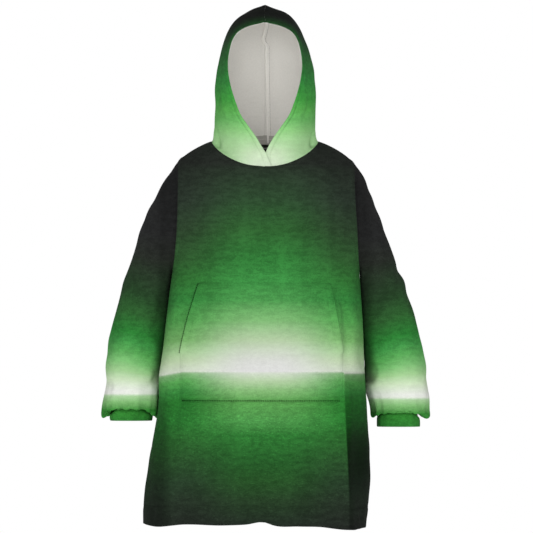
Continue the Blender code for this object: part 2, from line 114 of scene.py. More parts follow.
def along(path, fractions):
    """Points at the given fractions of a smooth path's length."""
    places = np.linspace(0, 1, len(path))
    fine = np.linspace(0, 1, PATH_STEPS)
    curve = np.stack([read_table(np.column_stack([places, path[:, axis]]), 1, fine)
                      for axis in range(path.shape[1])], axis=1)
    steps = np.linalg.norm(np.diff(curve, axis=0), axis=1)
    length = np.concatenate([[0], np.cumsum(steps)])
    length /= length[-1]
    return np.stack([np.interp(fractions, length, curve[:, axis])
                     for axis in range(path.shape[1])], axis=1)


def smoothstep(low, high, value):
    """0 below low, 1 above high, and 3t^2 - 2t^3 between them."""
    t = np.clip((value - low) / (high - low), 0, 1)
    return t * t * (3 - 2 * t)


def hill(distance, width):
    """A soft hill exp(-(d/w)^2): 1 in the middle, nearly 0 two widths away."""
    return np.exp(-(distance / width) ** 2)


def unit(vectors):
    """The same directions with length one."""
    return vectors / np.maximum(np.linalg.norm(vectors, axis=-1, keepdims=True), 1e-12)


def grid_normals(points, outward, closed=False):
    """Directions square to a grid, turned to the side that outward points to."""
    down = np.gradient(points, axis=0)
    if closed:
        across = (np.roll(points, -1, axis=1) - np.roll(points, 1, axis=1)) / 2
    else:
        across = np.gradient(points, axis=1)
    normals = unit(np.cross(down, across))
    side = np.sum(normals * outward, axis=-1, keepdims=True)
    return normals * np.where(side.mean() < 0, -1, 1)


def tube_normals(rings):
    """Directions square to a tube, pointing away from its middle."""
    return grid_normals(rings, rings - rings.mean(axis=1, keepdims=True), closed=True)


def distance_down(points):
    """Distance along each column from the grid's first row."""
    steps = np.linalg.norm(np.diff(points, axis=0), axis=2)
    return np.concatenate([np.zeros((1, points.shape[1])), np.cumsum(steps, axis=0)])


def distance_across(points):
    """Distance along each row from the grid's first column."""
    return distance_down(points.transpose(1, 0, 2)).T


def resample(rings, places):
    """Rings at fractional places between given ones, on cubics through all of them."""
    count = len(rings)
    step = np.clip(np.floor(places).astype(int), 0, count - 2)
    t = (places - step)[:, None, None]
    before = rings[np.maximum(step - 1, 0)]
    first, second = rings[step], rings[step + 1]
    after = rings[np.minimum(step + 2, count - 1)]
    start, end = (second - before) / 2, (after - first) / 2
    ease = t * t * (3 - 2 * t)
    return (first * (1 - ease) + second * ease + start * t * (1 - t) ** 2
            + end * t * t * (t - 1))


def sample_grid(grid, row, column):
    """Grid values at fractional rows and columns."""
    low = np.clip(np.floor(row).astype(int), 0, grid.shape[0] - 2)
    left = np.clip(np.floor(column).astype(int), 0, grid.shape[1] - 2)
    s, t = (row - low)[..., None], (column - left)[..., None]
    upper = grid[low, left] * (1 - t) + grid[low, left + 1] * t
    lower = grid[low + 1, left] * (1 - t) + grid[low + 1, left + 1] * t
    return upper * (1 - s) + lower * s


def mirrored(grid):
    """The same grid on the wearer's other side."""
    return grid * np.array([-1, 1, 1])


def unevenness(points, seed, coarsest, height):
    """Gentle unevenness: sixteen sine waves in fixed directions, wavelengths from w to w/4."""
    random = np.random.default_rng(seed)
    total = np.zeros(points.shape[:-1])
    for number in range(WAVES):
        direction = unit(random.normal(size=3))
        wavelength = coarsest * 4 ** (-number / (WAVES - 1))
        phase = random.uniform(0, 2 * np.pi)
        total += np.sin(points @ direction * 2 * np.pi / wavelength + phase) * wavelength
    return total * height / (coarsest * USUAL_WAVE_SUM)


# %% Helper: a thin piece of cloth with rounded edges
def new_piece(name, corners, faces, finish):
    """A mesh object at the origin from corners and faces, smooth shaded."""
    mesh = bpy.data.meshes.new(name)
    mesh.from_pydata(corners.tolist(), [], faces.tolist())
    mesh.materials.append(finish)
    mesh.shade_smooth()
    piece = bpy.data.objects.new(name, mesh)
    bpy.context.scene.collection.objects.link(piece)
    return piece


def rounded_rim(outside, inside, away):
    """Rows on a half circle from the outside to the inside of a cut or folded edge."""
    middle = (outside + inside) / 2
    half = (outside - inside) / 2
    reach = np.linalg.norm(half, axis=-1, keepdims=True) * away
    turns = np.linspace(0, np.pi, EDGE_STEPS + 2)[1:-1]
    return [middle + half * np.cos(turn) + reach * np.sin(turn) for turn in turns]


def cloth(name, outer, normals, thickness, finish, rounded, closed=False):
    """A thin closed shell: the outer grid, the grid inside it and a rim at both row ends.

    rounded says for the first and the last row whether the cloth is folded there, so that its
    rim is a half circle, or sewn to a neighbour, so that its rim is flat.
    """
    outer = outer.copy()
    away_first = unit(outer[0] - outer[1]) * rounded[0]
    away_last = unit(outer[-1] - outer[-2]) * rounded[1]
    outer[0] -= away_first * thickness / 2
    outer[-1] -= away_last * thickness / 2
    inner = outer - normals * thickness
    rows = list(outer) + rounded_rim(outer[-1], inner[-1], away_last)
    rows += list(inner[::-1]) + rounded_rim(inner[0], outer[0], away_first)
    rows = np.stack(rows)
    count, columns = rows.shape[:2]
    index = np.arange(count * columns).reshape(count, columns)
    index = np.concatenate([index, index[:1]])
    if closed:
        index = np.concatenate([index, index[:, :1]], axis=1)
    faces = np.stack([index[:-1, :-1], index[:-1, 1:], index[1:, 1:], index[1:, :-1]], axis=-1)
    faces = faces.reshape(-1, 4)
    if not closed:
        depth = len(outer)
        for column, turn in ((0, 1), (columns - 1, -1)):
            front = index[:depth, column]
            back = index[depth + EDGE_STEPS:2 * depth + EDGE_STEPS, column][::-1]
            strip = np.stack([front[:-1], front[1:], back[1:], back[:-1]], axis=-1)
            faces = np.concatenate([faces, strip[:, ::turn]])
    corners = rows.reshape(-1, 3)
    first, second, third = (corners[faces[:, k]] for k in range(3))
    if np.einsum("ij,ij->", first, np.cross(second, third)) < 0:
        faces = faces[:, ::-1]
    return new_piece(name, corners, faces, finish)

# %% [markdown]
# ## The body's cut
#
# The front and the back are each one flat piece of fleece. Sewn together they hang as an open
# tube that widens to the hem. The sections give that tube's half widths and depths, and its plan
# at each height is an oval a little squarer than an ellipse. The upper part carries the shoulder
# seam, the neckline and half of each armhole on its edge.

# %% Body sections and the shoulder, neck and hem lines
SQUARENESS = 2.6
UNDERARM_HEIGHT = -0.310
HEM_HEIGHT = -0.9145
STITCH_LINE_HEIGHT = -0.868

BODY_SECTIONS = np.array([
    # height  right   left    front   back
    [0.000, 0.2050, 0.2110, 0.1250, 0.1150],
    [-0.060, 0.2065, 0.2130, 0.1260, 0.1160],
    [-0.240, 0.2115, 0.2205, 0.1300, 0.1220],
    [-0.310, 0.2190, 0.2240, 0.1320, 0.1240],
    [-0.357, 0.2258, 0.2275, 0.1350, 0.1270],
    [-0.452, 0.2377, 0.2329, 0.1420, 0.1320],
    [-0.547, 0.2472, 0.2368, 0.1460, 0.1350],
    [-0.642, 0.2543, 0.2425, 0.1480, 0.1370],
    [-0.713, 0.2650, 0.2460, 0.1490, 0.1380],
    [-0.784, 0.2757, 0.2500, 0.1500, 0.1380],
    [-0.856, 0.2876, 0.2460, 0.1500, 0.1370],
    [-0.930, 0.2900, 0.2360, 0.1490, 0.1360],
])
SHOULDER_LINE = np.array([
    # across  height
    [0.000, 0.000], [0.100, 0.000], [0.127, -0.004], [0.160, -0.018], [0.190, -0.037],
    [0.214, -0.058],
])
SHOULDER_ROUNDING = 0.140
ARMHOLE_FULLNESS = 0.72
NECK_HALF_WIDTH = 0.127
NECK_SQUARENESS = 2.6
# By panel, where -1 is the front and 1 the back
NECK_DEPTH = {-1: 0.1050, 1: 0.060}
DEPTH_COLUMN = {-1: 3, 1: 4}
# How the armhole's edge leaves the shoulder and reaches the underarm
ARMHOLE_DROP_POWER = 3
ARMHOLE_ROUNDNESS = 2.2
# The panel is as wide as its section from this share of the way to the underarm on
WIDTH_SETTLED = 1 / 1.6
HEM_WAVES_START = -0.70
HEM_DROPS = np.array([
    # across  drop
    [-0.290, -0.003], [-0.265, 0.002], [-0.190, -0.003], [-0.100, -0.001], [-0.045, -0.003],
    [0.000, -0.008], [0.020, -0.001], [0.080, 0.002], [0.130, 0.003], [0.185, 0.009],
    [0.225, 0.007], [0.245, 0.004],
])

# Long soft folds that the solids have too
BODY_FOLDS = np.array([
    # panel  x1     z1      x2     z2      width  height
    [-1, 0.182, -0.330, 0.190, -0.930, 0.022, 0.007],
    [-1, -0.215, -0.700, -0.240, -0.930, 0.024, 0.006],
    [-1, 0.075, -0.690, 0.085, -0.930, 0.030, -0.004],
    [-1, -0.100, -0.700, -0.115, -0.930, 0.034, 0.004],
    [1, -0.150, -0.350, -0.185, -0.930, 0.030, 0.007],
    [1, 0.060, -0.420, 0.075, -0.930, 0.034, -0.006],
    [1, 0.165, -0.380, 0.180, -0.930, 0.026, 0.007],
    [1, -0.045, -0.560, -0.060, -0.930, 0.034, 0.005],
])
print("body half width at the hem:", BODY_SECTIONS[-1, 1], BODY_SECTIONS[-1, 2])

# %% [markdown]
# ## Creases
#
# Fleece does not fold sharply. A crease in it is a shallow trough 10 to 30 mm wide that starts
# and ends in nothing. Each row of a crease table is one trough or ridge, from one place to
# another as seen from the front, with its own width and height. Hidden sides get creases of the
# same kind, because the cloth there hangs in the same way.

# %% Crease tables and the function that adds them up
BODY_CREASES = np.array([
    # panel  x1     z1      x2     z2      width  height
    [-1, -0.150, -0.045, -0.178, -0.190, 0.018, -0.0022],
    [-1, 0.158, -0.048, 0.186, -0.180, 0.016, -0.0024],
    [-1, -0.196, -0.270, -0.150, -0.345, 0.016, 0.0022],
    [-1, 0.203, -0.262, 0.162, -0.330, 0.015, 0.0024],
    [-1, 0.180, -0.350, 0.196, -0.545, 0.011, -0.0110],
    [-1, 0.160, -0.600, 0.166, -0.760, 0.016, -0.0022],
    [-1, 0.197, -0.848, 0.236, -0.918, 0.0050, 0.0046],
    [-1, 0.196, -0.856, 0.222, -0.926, 0.0050, 0.0040],
    [-1, 0.202, -0.846, 0.240, -0.890, 0.0045, 0.0034],
    [-1, -0.205, -0.560, -0.222, -0.700, 0.016, -0.0026],
    [-1, -0.188, -0.640, -0.196, -0.860, 0.020, 0.0028],
    [-1, -0.020, -0.660, -0.030, -0.900, 0.030, -0.0024],
    [-1, 0.128, -0.650, 0.136, -0.900, 0.020, 0.0026],
    [-1, -0.150, -0.630, -0.158, -0.800, 0.014, -0.0018],
    [-1, 0.030, -0.120, 0.050, -0.300, 0.030, 0.0014],
    [-1, -0.075, -0.110, -0.085, -0.310, 0.034, 0.0015],
    [1, -0.165, -0.060, -0.120, -0.240, 0.018, -0.0030],
    [1, 0.160, -0.055, 0.118, -0.220, 0.020, -0.0028],
    [1, -0.070, -0.090, -0.080, -0.400, 0.030, 0.0026],
    [1, 0.020, -0.120, 0.012, -0.480, 0.026, -0.0030],
    [1, 0.105, -0.300, 0.118, -0.700, 0.022, 0.0032],
    [1, -0.110, -0.420, -0.125, -0.880, 0.018, -0.0034],
    [1, 0.200, -0.560, 0.214, -0.900, 0.014, 0.0026],
    [1, -0.020, -0.640, -0.015, -0.920, 0.020, 0.0026],
    [1, 0.040, -0.700, 0.048, -0.925, 0.014, -0.0022],
])

# Sharp folded edges: the cloth turns a corner there, as at the wearer's left side of the front
SHARP_EDGES = np.array([
    # panel  x1     z1      x2     z2      width  height
    [-1, 0.185, -0.540, 0.1980, -0.930, 0.022, 0.0130],
    [-1, -0.214, -0.740, -0.236, -0.930, 0.020, 0.0040],
    [1, -0.196, -0.420, -0.216, -0.930, 0.022, 0.0085],
    [1, 0.190, -0.500, 0.204, -0.930, 0.020, 0.0070],
])
# Shares of a crease's length between which it rises and falls away, and its sideways bend
CREASE_RISE = (-0.12, 0.35)
CREASE_FALL = (0.65, 1.12)
CREASE_BEND = 0.5
CREASE_HALF_TURNS = 1.3
FOLD_START = 0.03
EDGE_RADIUS = 0.003
EDGE_SWAY = 0.003
EDGE_SWAY_TURNS = 7
EDGE_RISE = (-0.02, 0.22)


def rows_on(table, side):
    """The table's rows for one panel or face, without the column that names it."""
    return table[table[:, 0] == side, 1:]


def creases(table, side, x, z):
    """Sum of soft troughs and ridges: height * exp(-(distance/width)^2), faded at both ends."""
    relief = np.zeros(np.broadcast(x, z).shape)
    for x1, z1, x2, z2, width, height in rows_on(table, side):
        length = np.hypot(x2 - x1, z2 - z1)
        way_x, way_z = (x2 - x1) / length, (z2 - z1) / length
        run = ((x - x1) * way_x + (z - z1) * way_z) / length
        bend = np.sin(np.clip(run, 0, 1) * np.pi * CREASE_HALF_TURNS) * width * CREASE_BEND
        away = (x - x1) * way_z - (z - z1) * way_x + bend
        fade = smoothstep(*CREASE_RISE, run) * (1 - smoothstep(*CREASE_FALL, run))
        relief += height * fade * hill(away, width)
    return relief


def hanging_folds(side, x, z):
    """The long folds of the solids: each grows with the square root of its run down the cloth."""
    relief = np.zeros(np.broadcast(x, z).shape)
    for x1, z1, x2, z2, width, height in rows_on(BODY_FOLDS, side):
        run = np.clip((z - z1) / (z2 - z1), 0, 1)
        away = x - (x1 + (x2 - x1) * run)
        grows = np.sqrt(run) * np.clip((z1 - z) / FOLD_START, 0, 1)
        relief += height * grows * hill(away, width)
    return relief


def sharp_edges(side, x, z):
    """Folded edges: height * exp(-|distance|/width), its tip rounded over 3 mm."""
    relief = np.zeros(np.broadcast(x, z).shape)
    for x1, z1, x2, z2, width, height in rows_on(SHARP_EDGES, side):
        run = (z - z1) / (z2 - z1)
        away = x - (x1 + (x2 - x1) * run) - EDGE_SWAY * np.sin(run * EDGE_SWAY_TURNS)
        away = np.sqrt(away * away + EDGE_RADIUS ** 2) - EDGE_RADIUS
        relief += height * smoothstep(*EDGE_RISE, run) * np.exp(-away / width)
    return relief


print("creases on the front:", int(np.sum(BODY_CREASES[:, 0] < 0)),
      "and on the back:", int(np.sum(BODY_CREASES[:, 0] > 0)))

# %% The panels' surfaces
# Heights of the relief along the hem and the seams, and where it is calm beside a seam
HEM_FULLNESS = 0.0014
STITCH_DENT = 0.0030
HEM_PUCKER = 0.0009
SIDE_SEAM_ROLL = 0.0014
SHOULDER_SEAM_ROLL = 0.0012
BODY_UNEVENNESS = 0.0024
BODY_WAVELENGTH = 0.20
SEAM_CALM = 0.030


def squarish_arc(angle, power):
    """A quarter-turn squarer than a circle: shares cos^(2/p) and sin^(2/p) of the two radii."""
    cosine, sine = np.cos(angle), np.sin(angle)
    return (np.sign(cosine) * np.abs(cosine) ** (2 / power), np.abs(sine) ** (2 / power))


def half_width(height, share):
    """The body's half width on the side that the share's sign names."""
    return np.where(share < 0, read_table(BODY_SECTIONS, 1, height),
                    read_table(BODY_SECTIONS, 2, height))


def body_side(height, behind, sign):
    """Where the body's side is at a height, a little way behind its widest line."""
    depth = float(read_table(BODY_SECTIONS, DEPTH_COLUMN[1], height))
    return float(half_width(height, sign)) * (1 - (behind / depth) ** SQUARENESS) ** (
        1 / SQUARENESS)


def panel_top(side):
    """The panel's top edge: across each shoulder seam and along the neckline between them."""
    spread = np.abs(np.linspace(-1, 1, ACROSS + 1))
    sign = np.sign(np.linspace(-1, 1, ACROSS + 1))
    neck_spread = 1 - SHOULDER_COLUMNS / (ACROSS / 2)
    arm_x = half_width(SHOULDER_LINE[-1, 1], sign)
    x = sign * np.interp(spread, [neck_spread, 1], [0, 1]) * (arm_x - NECK_HALF_WIDTH)
    x += sign * NECK_HALF_WIDTH
    y = np.zeros_like(x)
    neck = slice(SHOULDER_COLUMNS, ACROSS - SHOULDER_COLUMNS + 1)
    angle = np.linspace(np.pi, 0, ACROSS - 2 * SHOULDER_COLUMNS + 1)
    neck_x, neck_y = squarish_arc(angle, NECK_SQUARENESS)
    x[neck] = neck_x * NECK_HALF_WIDTH
    y[neck] = neck_y * NECK_DEPTH[side]
    return x, y


def upper_panel(side):
    """Shoulder to underarm.

    Down the cloth z runs from the top edge to the underarm, and across it the angle a runs from
    the armhole edge over the chest: x = W cos(a)^(2/p) and y = D (1 - (x/W)^p)^(1/p). The top
    turns over the shoulder on a circle.
    """
    power = SQUARENESS
    spread = np.linspace(-1, 1, ACROSS + 1)
    sign = np.sign(spread)
    x_top, y_top = panel_top(side)
    crest = read_table(SHOULDER_LINE, 1, np.abs(x_top))
    arm_top = SHOULDER_LINE[-1, 1]

    def first_angle(z):
        drop = np.clip((arm_top - z) / (arm_top - UNDERARM_HEIGHT), 0, 1)
        left_over = np.clip(1 - drop ** ARMHOLE_DROP_POWER, 0, 1) ** (1 / ARMHOLE_ROUNDNESS)
        left_over = ARMHOLE_FULLNESS * left_over
        return np.arcsin(left_over ** (power / 2))

    def depth_at(x, z):
        reach = np.cos(first_angle(z)) ** (2 / power)
        filled = np.clip(reach * np.abs(x) / half_width(z, sign), 0, 1)
        deepest = read_table(BODY_SECTIONS, DEPTH_COLUMN[side], z)
        return deepest * (1 - filled ** power) ** (1 / power)

    start = np.arcsin(np.clip(y_top / depth_at(x_top, crest - FOLD_START), 0, 1))
    z_top = crest - SHOULDER_ROUNDING * (1 - np.cos(start))
    down = np.linspace(0, 1, UPPER_ROWS + 1)[:, None]
    at_armhole = (1 - np.cos(np.pi * down)) / 2
    at_chest = 1 - np.cos(np.pi * down / 2)
    share = np.abs(spread) ** 2
    z = z_top + (UNDERARM_HEIGHT - z_top) * (at_armhole * share + at_chest * (1 - share))
    lowest = first_angle(z)
    angle = np.pi / 2 - (np.pi / 2 - lowest) * np.abs(spread)
    x_low = sign * half_width(z, sign) * (np.cos(angle) / np.cos(lowest)) ** (2 / power)
    run = np.clip((z_top - z) / (z_top - UNDERARM_HEIGHT) / WIDTH_SETTLED, 0, 1)
    x = x_top + (x_low - x_top) * run * run * (3 - 2 * run)
    turned = np.arccos(np.clip(1 - (crest - z) / SHOULDER_ROUNDING, 0, 1))
    y = depth_at(x, z) * np.sin(turned)
    y += (y_top - y[0]) * (1 - down) ** 2
    y[-1, [0, -1]] = 0
    return np.stack([x, side * y, z], axis=-1)


def lower_panel(side):
    """Underarm to hem: at each height the squarish oval's half, x = W cos(a)^(2/p) and so on."""
    angle = np.linspace(np.pi, 0, ACROSS + 1)
    across, deep = squarish_arc(angle, SQUARENESS)
    z = np.linspace(UNDERARM_HEIGHT, HEM_HEIGHT, LOWER_ROWS + 1)[1:, None] * np.ones(ACROSS + 1)
    x = half_width(z, np.sign(across)) * across
    y = side * read_table(BODY_SECTIONS, DEPTH_COLUMN[side], z) * deep
    low = np.clip((z - HEM_WAVES_START) / (HEM_HEIGHT - HEM_WAVES_START), 0, 1)
    return np.stack([x, y, z - low * read_table(HEM_DROPS, 1, x)], axis=-1)


def hem_relief(points):
    """The turned-up hem: a little fuller below the stitch line, dented and puckered along it."""
    x, above = points[..., 0], points[..., 2] - STITCH_LINE_HEIGHT
    fuller = HEM_FULLNESS * smoothstep(0.0, -0.012, above)
    dent = STITCH_DENT * hill(above, 0.0032)
    ripple = np.sin(x * 260 + 2.0 * np.sin(x * 31)) * np.sin(x * 97 + 1.3)
    return fuller - dent + HEM_PUCKER * ripple * hill(above + 0.014, 0.020)


def body_panel(side):
    """A whole panel: its two parts, then folds, creases, hem and seam rolls square to it."""
    points = np.concatenate([upper_panel(side), lower_panel(side)])
    outward = np.array([0, side, 0.2])
    normals = grid_normals(points, outward)
    x, z = points[..., 0], points[..., 2]
    deep = np.abs(points[..., 1]) / read_table(BODY_SECTIONS, DEPTH_COLUMN[side], z)
    relief = hanging_folds(side, x, z) * np.clip(deep, 0, 1)
    relief += creases(BODY_CREASES, side, x, z)
    relief += sharp_edges(side, x, z) * smoothstep(0.05, 0.6, deep)
    relief += hem_relief(points)
    relief += unevenness(points, 11 + side, BODY_WAVELENGTH, BODY_UNEVENNESS)
    from_left = distance_across(points)
    from_edge = np.minimum(from_left, from_left[:, -1:] - from_left)
    from_top = distance_down(points)
    relief *= smoothstep(0.0, SEAM_CALM, from_edge) * smoothstep(0.0, SEAM_CALM, from_top)
    relief += SIDE_SEAM_ROLL * hill(from_edge - 0.010, 0.006) * (z > UNDERARM_HEIGHT)
    relief += SHOULDER_SEAM_ROLL * hill(from_top - 0.009, 0.005)
    relief[:, [0, -1]] = 0
    relief[0] = 0
    points = points + normals * relief[..., None]
    points[..., 1] += side * SEWN_GAP / 2
    normals = grid_normals(points, outward)
    # Both panels' rims stand square to the side and shoulder seams, so that they meet flat
    normals[UPPER_ROWS:, [0, -1], 1] = 0
    normals[0, :SHOULDER_COLUMNS, 1] = 0
    normals[0, -SHOULDER_COLUMNS:, 1] = 0
    return points, unit(normals)


front_points, front_normals = body_panel(-1)
back_points, back_normals = body_panel(1)
print("front surface from", front_points.min((0, 1)).round(3), "to",
      front_points.max((0, 1)).round(3))

# %% [markdown]
# ## Sleeves and cuffs
#
# Each sleeve is one wide piece sewn into the dropped armhole and gathered into a short cuff,
# where it blouses over in a puff. Rings round the arm are drawn through the sections, and the
# gathers are uneven ridges that grow towards the cuff. A few creases at the elbow and under the
# arm show where the sleeve bends.

# %% Sleeve and cuff sizes
SLEEVE_SECTIONS = np.array([
    # out x  out z   in x   in z    front  back
    [0.232, -0.086, 0.2200, -0.318, 0.086, 0.084],
    [0.256, -0.132, 0.2200, -0.335, 0.085, 0.082],
    [0.280, -0.187, 0.2200, -0.362, 0.082, 0.079],
    [0.300, -0.243, 0.2210, -0.386, 0.078, 0.076],
    [0.318, -0.300, 0.2260, -0.413, 0.074, 0.072],
    [0.337, -0.352, 0.2280, -0.441, 0.071, 0.070],
    [0.353, -0.410, 0.2310, -0.470, 0.069, 0.068],
    [0.366, -0.455, 0.2340, -0.502, 0.068, 0.067],
    [0.375, -0.500, 0.2370, -0.535, 0.067, 0.066],
    [0.3805, -0.540, 0.2350, -0.561, 0.063, 0.063],
    [0.3850, -0.580, 0.2375, -0.590, 0.067, 0.066],
    [0.3915, -0.617, 0.2490, -0.619, 0.069, 0.067],
    [0.3895, -0.640, 0.2560, -0.641, 0.063, 0.061],
    [0.3730, -0.631, 0.2705, -0.629, 0.045, 0.043],
])
SLEEVE_MIDDLE_Y = 0.045
# Where one sleeve's outer edge reaches further out or less far than the sections say
OUTER_SHIFT = {
    "left": np.array([
        # height  shift
        [-0.090, 0.0000], [-0.140, -0.0040], [-0.190, -0.0085], [-0.240, -0.0070],
        [-0.330, -0.0060], [-0.380, -0.0025], [-0.450, 0.0000], [-0.520, 0.0055],
        [-0.560, 0.0060], [-0.590, 0.0020], [-0.625, -0.0060], [-0.660, -0.0030],
    ]),
    "right": np.array([
        # height  shift
        [-0.090, 0.0000], [-0.140, 0.0020], [-0.280, 0.0040], [-0.380, 0.0030],
        [-0.430, 0.0000], [-0.470, -0.0010], [-0.510, 0.0035], [-0.545, 0.0010],
        [-0.570, -0.0055], [-0.590, -0.0070], [-0.620, -0.0060], [-0.660, -0.0030],
    ]),
}
# The puff over the cuff: how far its last rings hang lower, and their ends lower still
PUFF_RINGS = 3
PUFF_DROP = {"left": 0.010, "right": 0.000}
LOBE_DROP = {"left": 0.007, "right": 0.020}
SLEEVE_SETTLED_RING = 3
SLEEVE_BODY_CLEARANCE = 0.0022
CUFF_TAPER = {"left": 1.06, "right": 0.98}
CUFF_BOTTOM = {"left": -0.682, "right": -0.668}
CUFF_ROWS = 10 * FINE
OVAL_POWER = 0.9
LOBE_POWER = 4
OUTER_SHIFT_POWER = 1.5
# The last sections, over the cuff, get two fifths of the rings
DENSE_SECTIONS = 4
# How far behind the sleeve's middle the front's creases give way to the back's
BEHIND = (0.010, 0.044)
SLEEVE_UNEVENNESS = 0.0026
SLEEVE_WAVELENGTH = 0.16
# The shadow beside the armhole seam: its depth, and the shares of the way round to the body's
# side where it starts and ends
ARMHOLE_TROUGH = 0.0042
TROUGH_STARTS = (0.02, 0.20)
TROUGH_ENDS = (0.70, 0.95)
# Close to the body, and above the gathers, the sleeve stays smooth
BODY_SIDE_CALM = (0.80, 0.97)
CALM_ABOVE = (0.10, 0.16)
GATHER_SHIFT = 0.012
GATHER_HEIGHTS = (0.75, 1.2)
CUFF_GATHERS = 0.30
CUFF_SWELL = 0.0012
CUFF_RECESS = 0.0060
CUFF_SEAM_DENT = 0.0012

SLEEVE_CREASES = {
    "right": np.array([
        # face  x1      z1      x2      z2      width  height
        [-1, -0.383, -0.566, -0.360, -0.592, 0.0070, -0.0040],
        [-1, -0.254, -0.540, -0.266, -0.586, 0.0110, -0.0080],
        [-1, -0.262, -0.500, -0.330, -0.556, 0.0150, -0.0024],
        [-1, -0.372, -0.470, -0.340, -0.520, 0.0160, 0.0026],
        [-1, -0.245, -0.360, -0.262, -0.470, 0.0140, -0.0030],
        [-1, -0.285, -0.180, -0.262, -0.290, 0.0160, 0.0024],
        [1, -0.375, -0.540, -0.290, -0.585, 0.0130, -0.0044],
        [1, -0.365, -0.450, -0.270, -0.520, 0.0180, -0.0034],
        [1, -0.330, -0.330, -0.250, -0.440, 0.0200, 0.0032],
        [1, -0.300, -0.240, -0.246, -0.330, 0.0180, -0.0030],
    ]),
    "left": np.array([
        # face  x1      z1      x2      z2      width  height
        [-1, 0.252, -0.530, 0.244, -0.582, 0.0110, -0.0080],
        [-1, 0.290, -0.486, 0.324, -0.506, 0.0045, -0.0030],
        [-1, 0.302, -0.498, 0.334, -0.522, 0.0060, 0.0022],
        [-1, 0.285, -0.262, 0.312, -0.372, 0.0130, 0.0034],
        [-1, 0.262, -0.270, 0.276, -0.400, 0.0140, -0.0030],
        [-1, 0.376, -0.560, 0.345, -0.590, 0.0080, -0.0034],
        [-1, 0.346, -0.420, 0.330, -0.470, 0.0120, -0.0020],
        [1, 0.372, -0.530, 0.288, -0.580, 0.0130, -0.0042],
        [1, 0.360, -0.440, 0.268, -0.500, 0.0170, -0.0036],
        [1, 0.325, -0.320, 0.250, -0.420, 0.0200, 0.0030],
        [1, 0.296, -0.225, 0.244, -0.320, 0.0170, -0.0032],
    ]),
}
# Gathers round the wrist: where each ridge stands, how wide it is and how high, in one turn
GATHERS = np.array([
    # turn  width  height
    [0.020, 0.020, 0.0046],
    [0.095, 0.014, 0.0026],
    [0.155, 0.022, 0.0038],
    [0.235, 0.016, 0.0030],
    [0.300, 0.020, 0.0042],
    [0.372, 0.013, 0.0024],
    [0.430, 0.018, 0.0036],
    [0.505, 0.021, 0.0048],
    [0.580, 0.015, 0.0028],
    [0.648, 0.020, 0.0040],
    [0.715, 0.014, 0.0026],
    [0.780, 0.019, 0.0036],
    [0.850, 0.016, 0.0030],
    [0.925, 0.021, 0.0042],
])


def sleeve_rings(loop, side, sign):
    """The sleeve's rings before its creases: the armhole loop, then an oval at each section.

    Round the arm the angle a gives x = mx + rx cos a, z = mz + rz cos a, y = my - D sin a, with
    the first ring taken from the armhole itself. Cubics through the sections give the rest.
    """
    count = len(loop)
    angle = np.linspace(0, 2 * np.pi, count, endpoint=False)
    first = loop.copy()
    first[:, 0] += sign * SEAM_GAP
    first[0, 1] = 0
    first[count // 2, 1] = 0
    rings = [first]
    for number, (out_x, out_z, in_x, in_z, front, back) in enumerate(SLEEVE_SECTIONS):
        middle_y = SLEEVE_MIDDLE_Y * min(1.0, (number + 1) / SLEEVE_SETTLED_RING)
        clearance = SLEEVE_BODY_CLEARANCE * min(1.0, (number + 1) / 2)
        in_x = max(in_x, body_side(in_z, middle_y, sign) + clearance)
        middle = np.array([(out_x + in_x) / 2, (out_z + in_z) / 2])
        reach = np.array([(out_x - in_x) / 2, (out_z - in_z) / 2])
        across, deep = np.cos(angle), -np.sin(angle)
        depth = np.where(deep < 0, front, back) * np.abs(deep) ** OVAL_POWER * np.sign(deep)
        z = middle[1] + reach[1] * across
        if number >= len(SLEEVE_SECTIONS) - PUFF_RINGS:
            z -= PUFF_DROP[side] + LOBE_DROP[side] * across ** LOBE_POWER
        outer = read_table(OUTER_SHIFT[side], 1, z)
        outer = outer * np.maximum(across, 0) ** OUTER_SHIFT_POWER
        x = sign * (middle[0] + reach[0] * across + outer)
        rings.append(np.stack([x, middle_y + depth, z], axis=1))
    last = len(rings) - 1
    dense = last - DENSE_SECTIONS
    places = np.concatenate([np.linspace(0, dense, SLEEVE_RINGS * 3 // 5, endpoint=False),
                             np.linspace(dense, last, SLEEVE_RINGS * 2 // 5)])
    return resample(np.stack(rings), places)


def gathers(turn, seed):
    """The uneven ridges round the wrist, their places shifted a little by a fixed seed."""
    random = np.random.default_rng(seed)
    relief = np.zeros_like(turn)
    for place, width, height in GATHERS:
        place = place + random.uniform(-GATHER_SHIFT, GATHER_SHIFT)
        away = (turn - place + 0.5) % 1 - 0.5
        relief += height * random.uniform(*GATHER_HEIGHTS) * hill(away, width)
    return relief - relief.mean()


